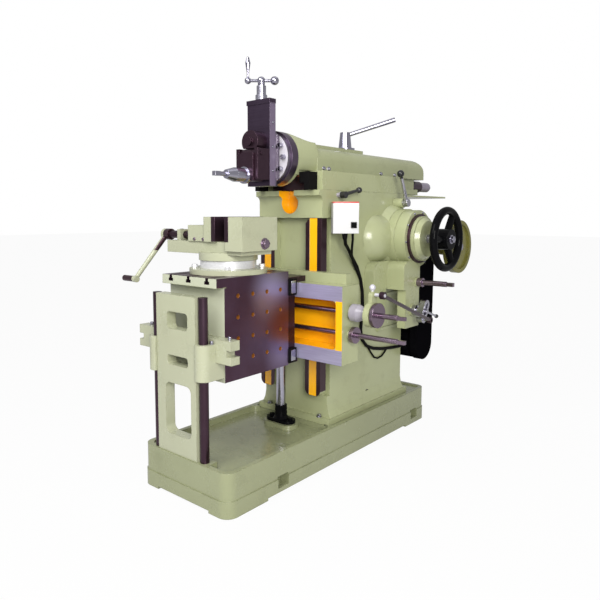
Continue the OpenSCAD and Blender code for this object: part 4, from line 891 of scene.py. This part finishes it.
# %% [markdown]
# ## Loose cords
# A second, thinner cord leaves the box and joins the switch cable, and a loop hangs below that cable near
# the motor. Each follows a few listed points, with a ring of corners at every point.

# %% Cords
def strand(form, points, radius, sides=10):
    """A round cord through a few points: one ring of corners at each, joined by faces."""
    route = [at(*p) for p in points]
    rings = []
    for i, spot in enumerate(route):
        along = (route[min(i + 1, len(route) - 1)] - route[max(i - 1, 0)]).normalized()
        turn = along.to_track_quat("Z", "Y").to_matrix()
        ring = []
        for angle in [2 * math.pi * k / sides for k in range(sides)]:
            corner = Vector((math.cos(angle) * radius * MM, math.sin(angle) * radius * MM, 0))
            ring.append(form.verts.new(spot + turn @ corner))
        rings.append(ring)
    for low, high in zip(rings, rings[1:]):
        for k in range(sides):
            form.faces.new((low[k], low[(k + 1) % sides], high[(k + 1) % sides], high[k]))
    form.faces.new(reversed(rings[0]))
    form.faces.new(rings[-1])


second_cord = [
    (282, -18, 1028),
    (280, -14, 1000),
    (262, 8, 968),
    (232, 50, 930),
    (206, 104, 885),
    (196, 150, 845),
    (195, 172, 815),
]
hanging_loop = [
    (190, 255, 470),
    (191, 285, 436),
    (191, 320, 402),
    (191, 352, 391),
    (191, 390, 396),
    (191, 420, 412),
    (190, 440, 428),
]
piece("Second Cord", lambda form: strand(form, second_cord, 5.5), rubber, "frame")
piece("Hanging Loop", lambda form: strand(form, hanging_loop, 4.5), rubber, "frame")
print("cords made")

# %% [markdown]
# ## The studio
# A white floor with soft light from above the front, a broad warm lamp on the camera's side and a faint one
# overhead. The floor itself is pale grey. To the camera it glows almost white, and glossy metal mirrors
# part of that glow.

# %% Floor and light
FLOOR_GREY = (0.62, 0.62, 0.62)
FLOOR_GLOW, FLOOR_IN_GLOSS = 0.95, 0.4
FLOOR_HALF = 30
SKY_IN_GLOSS, SKY_LIGHT = 0.5, 0.36


def white_stage(name):
    material = bpy.data.materials.new(name)
    material.use_nodes = True
    tree = material.node_tree
    shader = tree.nodes["Principled BSDF"]
    shader.inputs["Base Color"].default_value = (*FLOOR_GREY, 1)
    shader.inputs["Roughness"].default_value = 0.9
    glow = add(tree, "ShaderNodeEmission", Strength=1.0)
    ray = add(tree, "ShaderNodeLightPath")
    blend = add(tree, "ShaderNodeMixShader")
    mirrored = maths(tree, "MULTIPLY", ray.outputs["Is Glossy Ray"], FLOOR_IN_GLOSS)
    seen = maths(tree, "MAXIMUM", ray.outputs["Is Camera Ray"], mirrored)
    seen = maths(tree, "MULTIPLY", seen, FLOOR_GLOW)
    join(tree, seen, blend.inputs[0])
    join(tree, shader.outputs[0], blend.inputs[1])
    join(tree, glow.outputs[0], blend.inputs[2])
    join(tree, blend.outputs[0], tree.nodes["Material Output"].inputs["Surface"])
    return material


floor_mesh = bpy.data.meshes.new("Studio Floor")
floor_corners = [(x * FLOOR_HALF, y * FLOOR_HALF, 0) for x, y in ((-1, -1), (1, -1), (1, 1), (-1, 1))]
floor_mesh.from_pydata(floor_corners, [], [(0, 1, 2, 3)])
floor = bpy.data.objects.new("Studio Floor", floor_mesh)
bpy.context.scene.collection.objects.link(floor)
floor_mesh.materials.append(white_stage("White Floor"))

world = bpy.data.worlds.new("Studio")
bpy.context.scene.world = world
world.use_nodes = True
sky = world.node_tree
background = sky.nodes["Background"]
background.inputs["Color"].default_value = (1, 1, 1, 1)
ray = add(sky, "ShaderNodeLightPath")
mirrored = maths(sky, "MULTIPLY", ray.outputs["Is Glossy Ray"], SKY_IN_GLOSS)
lit = maths(sky, "MAXIMUM", ray.outputs["Is Camera Ray"], mirrored)
strength = maths(sky, "MAXIMUM", lit, SKY_LIGHT)
join(sky, strength, background.inputs["Strength"])


def soft_lamp(name, place, aim, size, power, colour=(1, 1, 1)):
    data = bpy.data.lights.new(name, "AREA")
    data.shape = "RECTANGLE"
    data.size, data.size_y = size
    data.energy = power
    data.color = colour
    lamp = bpy.data.objects.new(name, data)
    bpy.context.scene.collection.objects.link(lamp)
    lamp.location = place
    lamp.rotation_mode = "QUATERNION"
    lamp.rotation_quaternion = (Vector(aim) - Vector(place)).to_track_quat("-Z", "Y")
    return lamp


soft_lamp("Key", (0.2, -2.6, 3.3), (0, -0.4, 1.2), (2.0, 2.0), 92)
soft_lamp("Fill", (3.5, -3.0, 2.2), (0, 0, 0.95), (1.8, 2.0), 190, (1.0, 0.985, 0.93))
soft_lamp("Top", (0.3, 0.6, 4.6), (0, 0, 1.0), (3.0, 3.0), 16)

# %% [markdown]
# ## The camera
# The place and the lens come from the vanishing lines of the base, the table and the rail in the
# photograph. The machine sits a little off the picture's centre, so the sensor is shifted to match.

# %% Camera
FOCAL_PX = 593.087
PICTURE_PX = 600
SENSOR_MM = 36
CAMERA_AT = (1734.8, -2174.3, 1109.4)
AZIMUTH, ELEVATION = math.radians(41.093), math.radians(5.7226)
CENTRE_PX = (278.475, 273.729)
camera_data = bpy.data.cameras.new("Camera")
camera_data.sensor_width = SENSOR_MM
camera_data.lens = FOCAL_PX * SENSOR_MM / PICTURE_PX
camera_data.shift_x = (PICTURE_PX / 2 - CENTRE_PX[0]) / PICTURE_PX
camera_data.shift_y = (CENTRE_PX[1] - PICTURE_PX / 2) / PICTURE_PX
camera = bpy.data.objects.new("Camera", camera_data)
bpy.context.scene.collection.objects.link(camera)
camera.location = at(*CAMERA_AT)
level = math.cos(ELEVATION)
towards = Vector((math.sin(AZIMUTH) * level, -math.cos(AZIMUTH) * level, math.sin(ELEVATION)))
camera.rotation_mode = "QUATERNION"
camera.rotation_quaternion = (-towards).to_track_quat("-Z", "Y")
bpy.context.scene.camera = camera
bpy.context.scene.view_settings.view_transform = "Standard"
shift = (round(camera_data.shift_x, 4), round(camera_data.shift_y, 4))
print("lens", round(camera_data.lens, 2), "shift", shift)
